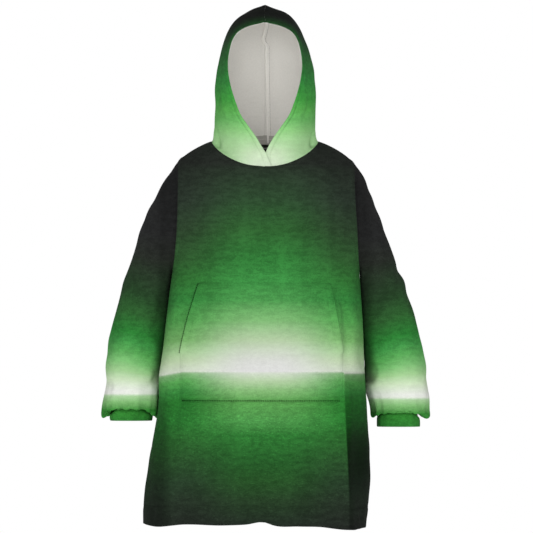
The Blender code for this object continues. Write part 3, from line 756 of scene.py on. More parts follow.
def sleeve(loop, side, sign):
    """A sleeve with its seam shadow, elbow creases and the gathers over the cuff."""
    rings = sleeve_rings(loop, side, sign)
    normals = tube_normals(rings)
    from_seam = distance_down(rings)
    from_cuff = from_seam[-1:] - from_seam
    turn = np.arange(rings.shape[1]) / rings.shape[1] + np.zeros_like(from_seam)
    behind = smoothstep(*BEHIND, rings[..., 1])
    relief = np.zeros_like(from_seam)
    for facing, share in ((-1, 1 - behind), (1, behind)):
        relief += share * creases(SLEEVE_CREASES[side], facing, rings[..., 0], rings[..., 2])
    relief *= smoothstep(0.0, 0.05, from_cuff)
    uneven = unevenness(rings, 21 + sign, SLEEVE_WAVELENGTH, SLEEVE_UNEVENNESS)
    relief += uneven * smoothstep(0.0, 0.04, from_seam)
    lean = turn + 0.02 * np.sin(from_cuff * 30)
    rise = hill(from_cuff - 0.012, 0.030) + 0.35 * hill(from_cuff - 0.055, 0.035)
    relief += gathers(lean, 5 + sign) * rise * smoothstep(0.0, 0.006, from_cuff)
    body_side_share = (1 - np.cos(turn * 2 * np.pi)) / 2
    relief *= 1 - smoothstep(*BODY_SIDE_CALM, body_side_share) * smoothstep(*CALM_ABOVE, from_cuff)
    trough = smoothstep(*TROUGH_STARTS, body_side_share)
    trough *= 1 - smoothstep(*TROUGH_ENDS, body_side_share)
    relief -= ARMHOLE_TROUGH * hill(from_seam - 0.008, 0.007) * trough
    relief[0] = 0
    return rings + normals * relief[..., None]


def cuff(last_ring, side, sign):
    """The band under a sleeve: its last ring carried down, drawn in, with faint wrinkles."""
    top = last_ring.copy()
    top[:, 2] -= SEAM_GAP
    middle = top.mean(axis=0)
    share = np.linspace(0, 1, CUFF_ROWS + 1)[:, None, None]
    narrow = 1 + (CUFF_TAPER[side] - 1) * share
    rings = middle + (top - middle) * narrow
    rings[..., 2] = top[:, 2] + (CUFF_BOTTOM[side] - top[:, 2]) * share[..., 0]
    share = share[..., 0]
    turn = np.arange(rings.shape[1]) / rings.shape[1] + np.zeros(rings.shape[:2])
    relief = CUFF_GATHERS * gathers(turn + 0.01 * share, 5 + sign) * (1 - 0.6 * share)
    relief += CUFF_SWELL * np.sin(np.pi * share) - CUFF_RECESS * hill(share, 0.20)
    relief -= CUFF_SEAM_DENT * hill(turn - 0.22, 0.006)
    return rings + tube_normals(rings) * relief[..., None]


def armhole(edge):
    """The armhole as one loop: down the front from the shoulder point, up the back."""
    return np.concatenate([front_points[:UPPER_ROWS + 1, edge],
                           back_points[UPPER_ROWS - 1:0:-1, edge]])


sleeve_points = {}
cuff_points = {}
for side, sign, edge in (("right", -1, 0), ("left", 1, -1)):
    sleeve_points[side] = sleeve(armhole(edge), side, sign)
    cuff_points[side] = cuff(sleeve_points[side][-1], side, sign)
    print("sleeve", side, "reaches out to x =",
          round(float(np.abs(sleeve_points[side][..., 0]).max()), 4))

# %% [markdown]
# ## The hood
#
# Two mirrored halves meet in a seam that runs from the forehead over the crown to the nape. The
# face edge is turned in and stitched 14 mm from the fold. At the throat the wearer's right edge
# laps over the left one, as the photo shows. The lining is cut the same and lies inside.

# %% Hood sizes
HOOD_EDGE = np.array([
    # x      y       z
    [0.0000, -0.1050, -0.0622],
    [0.0000, -0.1130, -0.0345],
    [0.0170, -0.1165, 0.0000],
    [0.0370, -0.1180, 0.0285],
    [0.0570, -0.1175, 0.0570],
    [0.0690, -0.1150, 0.0856],
    [0.0785, -0.1120, 0.1140],
    [0.0855, -0.1080, 0.1426],
    [0.0890, -0.1040, 0.1710],
    [0.0880, -0.0990, 0.1950],
    [0.0835, -0.0950, 0.2200],
    [0.0765, -0.0915, 0.2400],
    [0.0630, -0.0885, 0.2575],
    [0.0370, -0.0865, 0.2705],
    [0.0000, -0.0850, 0.2790],
])
HOOD_BACK_SEAM = np.array([
    # y      z
    [0.060, -0.018], [0.085, 0.020], [0.122, 0.070], [0.146, 0.130], [0.151, 0.190],
    [0.132, 0.250], [0.088, 0.298], [0.030, 0.322],
])
HOOD_HALF_WIDTH = 0.120
HOOD_WIDE_UNTIL = 0.35
HOOD_CROWN_POWER = 2.3
HOOD_CROWN_POINT = 0.70
HOOD_WIDEST_Y = np.array([[0.0, 0.004], [0.4, 0.022], [0.75, 0.010], [1.0, -0.0275]])
HOOD_SIDE_RISE = 0.030
HOOD_CROWN_RISE = 0.010
EDGE_HEM = 0.014
# The first rows pass from the neckline into the hood's own form, which stands at least
# LEAST_RISE above the neckline everywhere
HOOD_SETTLED = 1 / 13
LEAST_RISE = 0.008
SIDE_RISE_UNTIL = 0.35
FRONT_JOINED_WITHIN = 0.002
HOOD_UNEVENNESS = 0.0012
HOOD_WAVELENGTH = 0.14
FACE_STITCH_DENT = 0.0026
FACE_HEM_ROLL = 0.0010
MIDDLE_SEAM_ROLL = 0.0008

HOOD_CREASES = np.array([
    # side  y1     z1      y2      z2      width  height
    [-1, -0.024, 0.026, -0.064, -0.034, 0.0042, -0.0075],
    [-1, -0.002, 0.030, -0.046, -0.030, 0.0070, 0.0040],
    [1, -0.022, 0.026, -0.064, -0.036, 0.0042, -0.0075],
    [1, -0.002, 0.030, -0.044, -0.032, 0.0070, 0.0040],
    [1, -0.050, 0.112, -0.084, 0.036, 0.0100, -0.0042],
    [-1, -0.060, 0.120, -0.092, 0.030, 0.0110, 0.0022],
    [-1, 0.030, 0.060, 0.060, 0.190, 0.0180, -0.0020],
    [1, 0.034, 0.050, 0.070, 0.180, 0.0180, 0.0016],
    [-1, 0.080, 0.030, 0.050, 0.120, 0.0140, -0.0028],
    [1, 0.085, 0.040, 0.050, 0.130, 0.0140, 0.0026],
])


def neckline():
    """The neckline of the wearer's left half, centre front to centre back, with midpoints."""
    middle = ACROSS // 2
    corner = ACROSS - SHOULDER_COLUMNS
    points = np.concatenate([front_points[0, middle:corner + 1],
                             back_points[0, corner - 1:middle - 1:-1]])
    points[len(points) // 2, 1] = 0
    finer = np.empty((2 * len(points) - 1, 3))
    finer[::2] = points
    finer[1::2] = (points[:-1] + points[1:]) / 2
    return finer


def hood_half(base):
    """The hood's left half: arcs from the face edge round the side to the middle seam.

    At each height the angle a runs from the face edge to the seam: x = w cos a and
    y = m + r sin a, with the half width w falling to nothing at the crown.
    """
    half = (len(base) - 1) // 2
    share = np.linspace(0, 1, HOOD_ROWS + 1)
    edge = along(HOOD_EDGE, share)
    seam = along(HOOD_BACK_SEAM, share)
    crown = np.clip((share - HOOD_WIDE_UNTIL) / (1 - HOOD_WIDE_UNTIL), 0, 1)
    width = HOOD_HALF_WIDTH * (1 - crown ** HOOD_CROWN_POWER) ** HOOD_CROWN_POINT
    settled = smoothstep(0, HOOD_SETTLED, share)
    rows = [base + np.array([0, 0, SEWN_GAP])]
    for row in range(1, HOOD_ROWS + 1):
        edge_x, edge_y, edge_z = edge[row]
        seam_y, seam_z = seam[row]
        wide_y = float(read_table(HOOD_WIDEST_Y, 1, share[row]))
        last = row == HOOD_ROWS
        first_angle = -np.pi / 2 if last else -np.arccos(min(1, edge_x / width[row]))
        angle = np.concatenate([np.linspace(first_angle, 0, half + 1),
                                np.linspace(0, np.pi / 2, half + 1)[1:]])
        front_reach = (wide_y - edge_y) / np.sin(-first_angle)
        reach = np.where(angle < 0, front_reach, seam_y - wide_y)
        y = wide_y + reach * np.sin(angle)
        x = width[row] * np.cos(angle)
        run = (y - edge_y) / (seam_y - edge_y)
        side_rise = HOOD_SIDE_RISE * np.clip(1 - share[row] / SIDE_RISE_UNTIL, 0, 1) ** 1.5
        rise = side_rise * np.sin(np.pi * run) ** 2
        rise += HOOD_CROWN_RISE * share[row] ** 4 * np.sin(np.pi * run)
        z = edge_z + (seam_z - edge_z) * run + rise
        z = np.maximum(z, base[:, 2] + LEAST_RISE)
        ring = np.stack([x, y, z], axis=1)
        rows.append(base * (1 - settled[row]) + ring * settled[row])
    points = np.stack(rows)
    points[..., 0] = np.maximum(points[..., 0], 0) + MIDDLE_GAP / 2
    return points


def hood_normals(points):
    """Outward directions of the left half, with no sideways part on the middle seam."""
    normals = grid_normals(points, np.array([1.0, 0, 0.3]))
    normals[-1, :, 0] = 0
    normals[:, -1, 0] = 0
    joined = points[:, 0, 0] < FRONT_JOINED_WITHIN
    normals[joined, 0, 0] = 0
    return unit(normals)


def hood_relief(points, sign):
    """Face hem, folds at the base, seam roll and soft unevenness of one half."""
    from_face = distance_across(points)
    from_seam = from_face[:, -1:] - from_face
    from_neck = distance_down(points)
    from_seam = np.minimum(from_seam, from_neck[-1:] - from_neck)
    relief = creases(HOOD_CREASES, sign, points[..., 1], points[..., 2])
    relief += unevenness(points * np.array([sign, 1, 1]), 31 + sign, HOOD_WAVELENGTH,
                         HOOD_UNEVENNESS)
    relief *= smoothstep(0.0, 0.05, from_seam) * smoothstep(0.0, 0.010, from_neck)
    relief *= smoothstep(0.0, 0.015, from_face)
    relief -= FACE_STITCH_DENT * hill(from_face - EDGE_HEM, 0.0024)
    relief += FACE_HEM_ROLL * hill(from_face - EDGE_HEM / 2, 0.0045)
    relief += MIDDLE_SEAM_ROLL * hill(from_seam - 0.005, 0.003) * (from_seam > 0)
    relief[:, -1] = 0
    relief[-1] = 0
    relief[0] = 0
    return relief


hood_base = hood_half(neckline())
hood_directions = hood_normals(hood_base)
print("hood grid:", hood_base.shape[0], "rows by", hood_base.shape[1], "columns, crown at",
      round(float(hood_base[..., 2].max()), 4))

# %% The two hood halves, their linings and the sewn-down seam inside
LAP = np.array([
    # z      how far the upper edge reaches past the middle
    [-0.0600, 0.0145], [-0.0450, 0.0080], [-0.0285, 0.0024], [-0.0100, 0.0000],
])
LAP_WIDTH = 0.026
LAP_LIFT = 0.0040
# The lap stands off below these heights, and less within 14 mm of the neck seam
LAP_LIFT_HEIGHTS = (-0.030, -0.008)
LAP_LIFT_AT_SEAM = 0.2
LAP_SETTLED = 0.014
# Fine wrinkles of the lining behind the nape: their middle height, spread and wavelength
WRINKLES_AT = 0.075
WRINKLES_SPREAD = 0.045
WRINKLE_LENGTH = 0.011
WRINKLE_DEPTH = 0.0009


def hood_side(sign):
    """One half on its own side, with relief; the wearer's right half laps over the left one."""
    relief = hood_relief(hood_base, sign)
    points = hood_base + hood_directions * relief[..., None]
    turned = hood_directions.copy()
    if sign < 0:
        points = mirrored(points)
        turned = mirrored(turned)
        near = hill(distance_across(hood_base), LAP_WIDTH)
        low = 1 - smoothstep(*LAP_LIFT_HEIGHTS, points[..., 2])
        away = smoothstep(0.0, LAP_SETTLED, distance_down(hood_base))
        low *= LAP_LIFT_AT_SEAM + (1 - LAP_LIFT_AT_SEAM) * away
        points[..., 0] += read_table(LAP, 1, points[..., 2]) * near
        points[..., 1] -= LAP_LIFT * near * low
    normals = grid_normals(points, turned)
    normals[:, -1, 0] = 0
    normals[-1, :, 0] = 0
    return points, unit(normals)


def lining_side(points, normals):
    """The lining: the shell's own grid moved in by the shell's thickness, with fine wrinkles."""
    x, y, z = np.moveaxis(points, -1, 0)
    low = hill(z - WRINKLES_AT, WRINKLES_SPREAD) * (y > 0.03)
    ripple = np.sin(z * 2 * np.pi / WRINKLE_LENGTH + 3 * np.sin(x * 60))
    depth = HOOD_SHELL + 2 * SEAM_GAP + WRINKLE_DEPTH * (1 + ripple) * low
    return points - normals * depth[..., None]


hood_points = {}
lining_points = {}
for side, sign in (("left", 1), ("right", -1)):
    hood_points[side] = hood_side(sign)
    lining_points[side] = lining_side(*hood_points[side])

# The seam inside wanders a little, with a step where two stitching runs meet
SEAM_WANDER = np.array([
    # z      x
    [-0.020, 0.0095], [0.060, 0.0080], [0.140, 0.0065], [0.215, 0.0052], [0.228, 0.0048],
    [0.236, -0.0020], [0.258, 0.0010], [0.278, 0.0048], [0.330, 0.0060],
])
SEAM_PROFILE = np.array([
    # across   height
    [-0.0050, 0.0002], [-0.0040, 0.0018], [-0.0022, 0.0026], [-0.0002, 0.0024],
    [0.0008, 0.0010], [0.0016, 0.0004], [0.0030, 0.0008], [0.0044, 0.0002],
])
SEAM_RIDGE_GAP = 0.0004
# Strips inside the back neck: lowest and highest place above the seam, and gap to the lining
NECK_TAPE = (0.008, 0.034, 0.0014)
NECK_ALLOWANCE = (0.0005, 0.0095, 0.0004)
STRIP_FROM = 0.60


def seam_allowance():
    """The joined and turned seam allowances: a narrow low ridge down the lining's middle."""
    rows = slice(2 * FINE, -2 * FINE)
    inward = -hood_points["left"][1][rows, -1]
    edge = lining_points["left"][rows, -1] + inward * LINING
    across, height = SEAM_PROFILE.T
    points = edge[:, None] + inward[:, None] * (height + SEAM_RIDGE_GAP)[None, :, None]
    points[..., 0] = read_table(SEAM_WANDER, 1, edge[:, 2])[:, None] + across
    return points, np.repeat(inward[:, None], len(across), axis=1)


def neck_strip(low_place, high_place, inset):
    """A strip round the inside of the back neck, from one height above the seam to another."""
    first = int(STRIP_FROM * hood_base.shape[1])
    from_neck = distance_down(lining_points["left"])[:, first:]
    share = np.linspace(0, 1, 4 * FINE)
    rows = np.arange(from_neck.shape[0], dtype=float)
    left = np.zeros((len(share), from_neck.shape[1], 3))
    turned = np.zeros_like(left)
    for column in range(from_neck.shape[1]):
        heights = low_place + (high_place - low_place) * share
        row = np.interp(heights, from_neck[:, column], rows)
        place = np.full_like(row, float(first + column))
        left[:, column] = sample_grid(lining_points["left"], row, place)
        turned[:, column] = unit(sample_grid(hood_points["left"][1], row, place))
    left = left - turned * (LINING + inset)
    left[:, -1, 0] = 0
    turned[:, -1, 0] = 0
    points = np.concatenate([left, mirrored(left)[:, -2::-1]], axis=1)
    return points, np.concatenate([turned, mirrored(turned)[:, -2::-1]], axis=1)


# %% [markdown]
# ## The pocket
#
# A kangaroo pocket is one flat piece, sewn to the front along its top, its bottom and the lower
# part of its sides. The slanted upper sides stay open for the hands, so they stand off the front
# a little and throw a thin shadow. Thick dark beads along the bottom seam and the wearer's right
# slit add painted shadow lines.

# %% Pocket sizes and surface
POCKET_TOP = -0.339
POCKET_SLIT_END = -0.506
POCKET_BOTTOM = -0.622
POCKET_HALF_TOP = {"right": 0.157, "left": 0.154}
POCKET_HALF_BOTTOM = {"right": 0.201, "left": 0.184}
POCKET_CROWDING = 1.25
POCKET_FULLNESS = 0.0022
POCKET_GAP = 0.0005
POCKET_GAPE = {"right": 0.0050, "left": 0.0030}
SLIT_HEM = 0.0008
TOP_SUNK = 0.0026
SIDES_SUNK = 0.0028
BOTTOM_STITCH_DENT = 0.0012
POCKET_ROWS = 50 * FINE
POCKET_COLUMNS = 60 * FINE
POCKET_CREASES = np.array([
    # panel  x1     z1      x2     z2      width  height
    [-1, 0.150, -0.350, 0.176, -0.500, 0.012, 0.0026],
    [-1, -0.152, -0.350, -0.182, -0.500, 0.012, 0.0024],
    [-1, -0.120, -0.352, -0.060, -0.440, 0.018, -0.0014],
    [-1, 0.118, -0.350, 0.070, -0.430, 0.018, -0.0014],
    [-1, -0.180, -0.520, -0.120, -0.590, 0.016, -0.0014],
    [-1, 0.165, -0.515, 0.120, -0.590, 0.014, -0.0016],
    [-1, 0.010, -0.420, 0.030, -0.600, 0.030, 0.0012],
])


def front_depth(x, z):
    """The front panel's y at places seen from the front, read between its own grid points."""
    rows = front_points[UPPER_ROWS:UPPER_ROWS + LOWER_ROWS]
    heights = rows[..., 2].mean(axis=1)
    stations = np.linspace(-0.24, 0.24, 321)
    table = np.stack([np.interp(stations, row[:, 0], row[:, 1]) for row in rows])
    down = np.interp(-z, -heights, np.arange(len(heights)))
    across = np.interp(x, stations, np.arange(len(stations)))
    return sample_grid(table[..., None], down, across)[..., 0]


def pocket():
    """The pocket's surface: the front's own points, moved out by its lift from the front."""
    down = np.linspace(0, 1, POCKET_ROWS + 1)[:, None]
    z = POCKET_TOP + (POCKET_BOTTOM - POCKET_TOP) * down
    slit = np.clip((POCKET_TOP - z) / (POCKET_TOP - POCKET_SLIT_END), 0, 1)
    share = np.sin(np.linspace(-POCKET_CROWDING, POCKET_CROWDING, POCKET_COLUMNS + 1))
    share = share[None, :] / np.sin(POCKET_CROWDING)
    half = {side: top + slit * (POCKET_HALF_BOTTOM[side] - top)
            for side, top in POCKET_HALF_TOP.items()}
    x = share * np.where(share < 0, half["right"], half["left"])
    z = z * np.ones_like(x)
    points = np.stack([x, front_depth(x, z), z], axis=-1)
    normals = grid_normals(points, np.array([0, -1.0, 0]))
    swell = POCKET_FULLNESS * np.sin(np.pi * down) * (1 - share ** 4)
    from_left = distance_across(points)
    from_side = np.minimum(from_left, from_left[:, -1:] - from_left)
    open_part = np.sin(np.pi * slit) ** 0.7
    gape = np.where(share < 0, POCKET_GAPE["right"], POCKET_GAPE["left"])
    gape = gape * open_part * hill(from_side, 0.010)
    hem = SLIT_HEM * hill(from_side - 0.009, 0.006) * (slit < 1)
    from_top = distance_down(points)
    from_bottom = from_top[-1:] - from_top
    relief = creases(POCKET_CREASES, -1, x, z) * smoothstep(0, 0.02, from_bottom)
    lift = FLEECE + POCKET_GAP + swell + gape + hem + np.maximum(relief, -swell * 0.7)
    lift -= TOP_SUNK * hill(from_top, 0.008)
    lift -= SIDES_SUNK * hill(from_side, 0.011) * (1 - smoothstep(0.0, 0.15, open_part))
    lift -= BOTTOM_STITCH_DENT * hill(from_bottom - 0.006, 0.003)
    points = points + normals * lift[..., None]
    return points, grid_normals(points, np.array([0, -1.0, 0]))


pocket_points, pocket_normals = pocket()
print("pocket:", round(float(np.ptp(pocket_points[..., 0])), 3), "m across,",
      round(float(np.ptp(pocket_points[..., 2])), 3), "m high")

# %% [markdown]
# ## Thread
#
# The hem, the pocket, the face edge, the neck tape and the lining's middle seam each show one line
# of lockstitch, about four stitches to 17 mm. Each stitch is a short, slightly raised bead of
# thread. The grey stitches beside the lining's seam ridge are darker than the lining as painted
# shadow. Thicker dark beads stand close together as painted shadow lines: along the pocket's
# bottom seam, on the edge of its slit at the wearer's right, and round the top of each cuff under
# the puff.

# %% Stitches along a path
STITCH_LENGTH = 0.0032
STITCH_STEP = 0.0042
THREAD_RADIUS = 0.00040
# Thick beads that draw painted shadow lines on the pocket and round the top of each cuff
POCKET_SHADOW_LINE_RADIUS = 0.0015
CUFF_SHADOW_LINE_RADIUS = 0.0016
THREAD_SIDES = 5
# Heights and thicknesses of a bead's start, middle and end, in thread radii
BEAD_HEIGHTS = np.array([-0.4, 0.9, -0.4])
BEAD_RADII = np.array([0.5, 1.0, 0.5])


def stitches(name, paths, finish, thickness=THREAD_RADIUS):
    """Beads of thread along paths: each a little spindle of three rings that dips at its ends."""
    corners = []
    faces = []
    turn = np.linspace(0, 2 * np.pi, THREAD_SIDES, endpoint=False)
    for path, normals in paths:
        steps = np.linalg.norm(np.diff(path, axis=0), axis=1)
        length = np.concatenate([[0], np.cumsum(steps)])
        starts = np.arange(STITCH_STEP, length[-1] - STITCH_STEP, STITCH_STEP)
        for start in starts:
            at = np.array([start, start + STITCH_LENGTH / 2, start + STITCH_LENGTH])
            spine = np.stack([np.interp(at, length, path[:, k]) for k in range(3)], axis=1)
            up = unit(np.stack([np.interp(at, length, normals[:, k]) for k in range(3)], axis=1))
            way = unit(spine[2:] - spine[:1])
            sideways = unit(np.cross(way, up))
            spine = spine + up * (thickness * BEAD_HEIGHTS)[:, None]
            radius = thickness * BEAD_RADII[:, None, None]
            ring = (sideways[:, None] * np.cos(turn)[None, :, None]
                    + up[:, None] * np.sin(turn)[None, :, None])
            first = len(corners) * THREAD_SIDES
            corners.extend(spine[:, None] + ring * radius)
            for section in range(2):
                base = first + section * THREAD_SIDES
                for k in range(THREAD_SIDES):
                    nxt = (k + 1) % THREAD_SIDES
                    faces.append([base + k, base + nxt, base + THREAD_SIDES + nxt,
                                  base + THREAD_SIDES + k])
    return new_piece(name, np.concatenate(corners), np.array(faces), finish)


def hem_path(points, normals):
    """The line of the hem's stitches: each column's place at the stitch height."""
    heights = np.linspace(UNDERARM_HEIGHT, HEM_HEIGHT, LOWER_ROWS + 1)
    row = UPPER_ROWS + np.interp(-STITCH_LINE_HEIGHT, -heights, np.arange(len(heights)))
    columns = np.arange(points.shape[1], dtype=float)
    rows = np.full_like(columns, row)
    return sample_grid(points, rows, columns), unit(sample_grid(normals, rows, columns))


def face_path(points, normals):
    """The line of the face hem's stitches, a fixed distance in from the edge of every row."""
    from_face = distance_across(points)
    rows = np.arange(2 * FINE, points.shape[0] - FINE, dtype=float)
    columns = np.array([np.interp(EDGE_HEM, from_face[int(row)], np.arange(points.shape[1]))
                        for row in rows])
    return sample_grid(points, rows, columns), unit(sample_grid(normals, rows, columns))


def on_pocket(paths):
    """Places and directions on the pocket for paths of fractional rows and columns."""
    return [(sample_grid(pocket_points, row, column), sample_grid(pocket_normals, row, column))
            for row, column in paths]


def pocket_shadow_line_paths():
    """Thick dark beads as painted shadow: along the bottom seam and the wearer's right slit's
    edge.
    """
    rows, columns = pocket_points.shape[:2]
    down = distance_down(pocket_points)[:, columns // 2]
    paths = [(np.full(columns - 4, np.interp(down[-1] - 0.003, down, np.arange(rows))),
              np.arange(2, columns - 2, dtype=float)),
             (np.linspace(0.0, 0.60, 120) * (rows - 1), np.zeros(120))]
    return on_pocket(paths)


def lining_seam_path():
    """The stitches that hold down the turned allowance beside its ridge, grey as painted shadow.
    """
    points, normals = seam_allowance()
    return points[:, -2] + np.array([0.0012, 0, 0]), normals[:, -2]


def tape_path():
    """One light line of stitches along the middle of the neck tape."""
    points, normals = neck_strip(*NECK_TAPE)
    middle = len(points) // 2
    return points[middle] - normals[middle] * 0.0012, -normals[middle]


def cuff_shadow_path(side):
    """The cuff's top seam, drawn as thick dark beads: painted shadow under the puff."""
    ring = cuff_points[side][1]
    ring = np.concatenate([ring, ring[:1]])
    outward = ring - ring.mean(axis=0)
    outward[:, 2] = 0
    return ring, unit(outward)


def pocket_paths():
    """Stitches 6 mm inside the top, 18 mm inside the slits and 8 mm inside the closed sides."""
    rows, columns = pocket_points.shape[:2]
    down = distance_down(pocket_points)[:, columns // 2]
    from_left = distance_across(pocket_points)
    paths = [(np.full(columns - 4, np.interp(0.006, down, np.arange(rows))),
              np.arange(2, columns - 2, dtype=float))]
    for inset, first, last in ((0.018, 0.02, 0.58), (0.008, 0.60, 0.98)):
        row = np.linspace(first, last, 60) * (rows - 1)
        left = np.array([np.interp(inset, from_left[int(r)], np.arange(columns)) for r in row])
        right = np.array([np.interp(from_left[int(r), -1] - inset, from_left[int(r)],
                                    np.arange(columns)) for r in row])
        paths += [(row, left), (row, right)]
    return on_pocket(paths)

# %% [markdown]
# ## Finishes
#
# The cloth is brushed polyester fleece with a dye-sublimation print. Its nap scatters light, so
# it has no shine and the colour varies a little from tuft to tuft. Real tufts are under a
# millimetre. They are drawn 3 to 5 mm wide here, because finer ones would vanish at the camera's
# distance. The print is a plain fade worked out from height and distance from the middle: near
# black, green, a pale band with a tight lower edge, and green to near black again. The fade's
# darker sides are partly print and partly painted shade, and more painted shade darkens the
# body's sides and the sleeves' inner side.

# %% Print colours, each row a height and what shows in the middle and at the sides
# Sides darker than the middle: partly the print, partly painted shade where the cloth turns away
BODY_PRINT = [
    # height  middle    sides
    (-0.055, "#262b26", "#242824"),
    (-0.071, "#293529", "#252c25"),
    (-0.143, "#2a452b", "#283329"),
    (-0.214, "#2c5b2c", "#293e28"),
    (-0.285, "#2e7233", "#2b532a"),
    (-0.333, "#39863f", "#2e6b2f"),
    (-0.380, "#478f49", "#317a37"),
    (-0.428, "#77ad6d", "#4e964b"),
    (-0.475, "#a9c09b", "#70a562"),
    (-0.499, "#bdc8b5", "#99bf8a"),
    (-0.523, "#c9cbc6", "#b3c8a3"),
    (-0.549, "#cfcfce", "#c8d1c0"),
    (-0.553, "#c3ccbc", "#78a570"),
    (-0.571, "#a9c29b", "#529a4e"),
    (-0.594, "#7eae70", "#36813a"),
    (-0.618, "#57964d", "#266e29"),
    (-0.666, "#478b45", "#29712d"),
    (-0.700, "#2b6e2e", "#286029"),
    (-0.761, "#225424", "#264926"),
    (-0.808, "#234a22", "#233824"),
    (-0.856, "#233922", "#232f23"),
    (-0.915, "#1e261f", "#1f231f"),
]
SLEEVE_PRINT = [
    (-0.100, "#252626", "#252626"),
    (-0.200, "#272828", "#262727"),
    (-0.261, "#282d27", "#272b26"),
    (-0.357, "#274627", "#254025"),
    (-0.404, "#2e5f2e", "#2b562b"),
    (-0.452, "#2b7a32", "#2a7130"),
    (-0.475, "#3f8f45", "#3a8540"),
    (-0.499, "#57a155", "#519a4f"),
    (-0.523, "#77b56f", "#6fae68"),
    (-0.547, "#9dc78e", "#94c186"),
    (-0.570, "#c8dcba", "#bfd6b0"),
    (-0.596, "#e1e4dd", "#dbe1d6"),
    (-0.603, "#dfe3da", "#d8dfd2"),
    (-0.608, "#a9cd9d", "#a1c894"),
    (-0.622, "#7fb672", "#78b06c"),
    (-0.642, "#348231", "#317d2f"),
    (-0.690, "#2c7530", "#2a7030"),
]
HOOD_PRINT = [
    (0.320, "#151815", "#151815"),
    (0.286, "#1a1d1a", "#1a1d1a"),
    (0.262, "#1f3320", "#1d281e"),
    (0.235, "#265029", "#223c25"),
    (0.190, "#317436", "#2e6833"),
    (0.143, "#34853b", "#31803a"),
    (0.095, "#429843", "#40973f"),
    (0.071, "#5aa551", "#58a74f"),
    (0.047, "#69ae61", "#69b261"),
    (0.024, "#84be76", "#87c37a"),
    (0.000, "#a2cb94", "#a0cd92"),
    (-0.030, "#bdd3b0", "#a9ce9b"),
    (-0.060, "#c9d8bf", "#b0d1a4"),
]


def linear(code):
    """An sRGB hex code as linear red, green, blue and 1."""
    values = np.array([int(code[k:k + 2], 16) for k in (1, 3, 5)]) / 255
    values = np.where(values <= 0.04045, values / 12.92, ((values + 0.055) / 1.055) ** 2.4)
    return (*values.tolist(), 1.0)


def add(tree, kind, inputs=None, **settings):
    """A shader node with its settings; each input is a constant or another node's socket."""
    node = tree.nodes.new(kind)
    for name, value in settings.items():
        setattr(node, name, value)
    for name, value in (inputs or {}).items():
        if isinstance(value, bpy.types.NodeSocket):
            tree.links.new(value, node.inputs[name])
        else:
            node.inputs[name].default_value = value
    return node


def new_material(name):
    """A material with only its Principled shader and output."""
    finish = bpy.data.materials.new(name)
    finish.use_nodes = True
    return finish, finish.node_tree, finish.node_tree.nodes["Principled BSDF"]


def fade(tree, height, stops):
    """A colour for each height: one ramp over the table's range."""
    low = min(place for place, code in stops)
    high = max(place for place, code in stops)
    ramp = add(tree, "ShaderNodeValToRGB")
    share = add(tree, "ShaderNodeMapRange",
                {"Value": height, "From Min": low, "From Max": high})
    tree.links.new(share.outputs["Result"], ramp.inputs["Fac"])
    elements = ramp.color_ramp.elements
    ordered = sorted(stops)
    elements[0].position = 0.0
    elements[0].color = linear(ordered[0][1])
    elements[-1].position = 1.0
    elements[-1].color = linear(ordered[-1][1])
    for place, code in ordered[1:-1]:
        element = elements.new((place - low) / (high - low))
        element.color = linear(code)
    return ramp.outputs["Color"]


def ranged(tree, value, low, high, to_low=0.0, to_high=1.0):
    """A value's share between two ends, clamped and smooth, as a number between two others."""
    node = add(tree, "ShaderNodeMapRange",
               {"Value": value, "From Min": low, "From Max": high, "To Min": to_low,
                "To Max": to_high}, interpolation_type="SMOOTHSTEP")
    return node.outputs["Result"]


def maths(tree, operation, *values):
    """One step of arithmetic on numbers and sockets."""
    return add(tree, "ShaderNodeMath", dict(enumerate(values)), operation=operation).outputs[0]


def plus(tree, first, second):
    """The sum of two numbers or sockets."""
    return maths(tree, "ADD", first, second)


def minus(tree, first, second):
    """The first less the second."""
    return maths(tree, "SUBTRACT", first, second)


def times(tree, first, second):
    """The product of two numbers or sockets."""
    return maths(tree, "MULTIPLY", first, second)


def stretched_noise(tree, place, scale, squeeze, detail=3.0):
    """Noise whose specks are stretched: squeeze says how much faster it varies on each axis."""
    moved = add(tree, "ShaderNodeVectorMath", {0: place, 1: squeeze}, operation="MULTIPLY")
    return add(tree, "ShaderNodeTexNoise",
               {"Vector": moved.outputs[0], "Scale": scale, "Detail": detail,
                "Roughness": 0.55}).outputs["Fac"]


def luminance(tree, colour):
    """How bright a colour is."""
    return add(tree, "ShaderNodeRGBToBW", {"Color": colour}).outputs["Val"]


def matt(tree, shader, colour, scale, roughness, specular):
    """A colour made lighter or darker by a scale, on a matt surface."""
    tinted = add(tree, "ShaderNodeVectorMath", {0: colour, "Scale": scale}, operation="SCALE")
    tree.links.new(tinted.outputs[0], shader.inputs["Base Color"])
    shader.inputs["Roughness"].default_value = roughness
    shader.inputs["Specular IOR Level"].default_value = specular


def bumps(tree, shader, layers):
    """Bumps one on top of the other: each layer's height, strength and distance."""
    below = {}
    for height, strength, distance in layers:
        layer = add(tree, "ShaderNodeBump",
                    {"Height": height, "Strength": strength, "Distance": distance, **below})
        below = {"Normal": layer.outputs["Normal"]}
    tree.links.new(below["Normal"], shader.inputs["Normal"])


# Ranges are written from where, to where and, if not from 0 to 1, the two ends' values.
# The print's slant past the right side, and its small step at the left fold
SLANT_FROM = 0.195
LEFT_STEP = (0.184, 0.190, 0.0, 0.004)


def print_height(tree, x, z, slant, shift):
    """The height to look up in the print: lower at the wearer's right side, where it slants."""
    past_right = maths(tree, "MAXIMUM", minus(tree, times(tree, x, -1.0), SLANT_FROM), 0.0)
    drop = maths(tree, "MULTIPLY_ADD", past_right, slant, shift)
    if slant:
        drop = plus(tree, drop, ranged(tree, x, *LEFT_STEP))
    return plus(tree, z, drop)


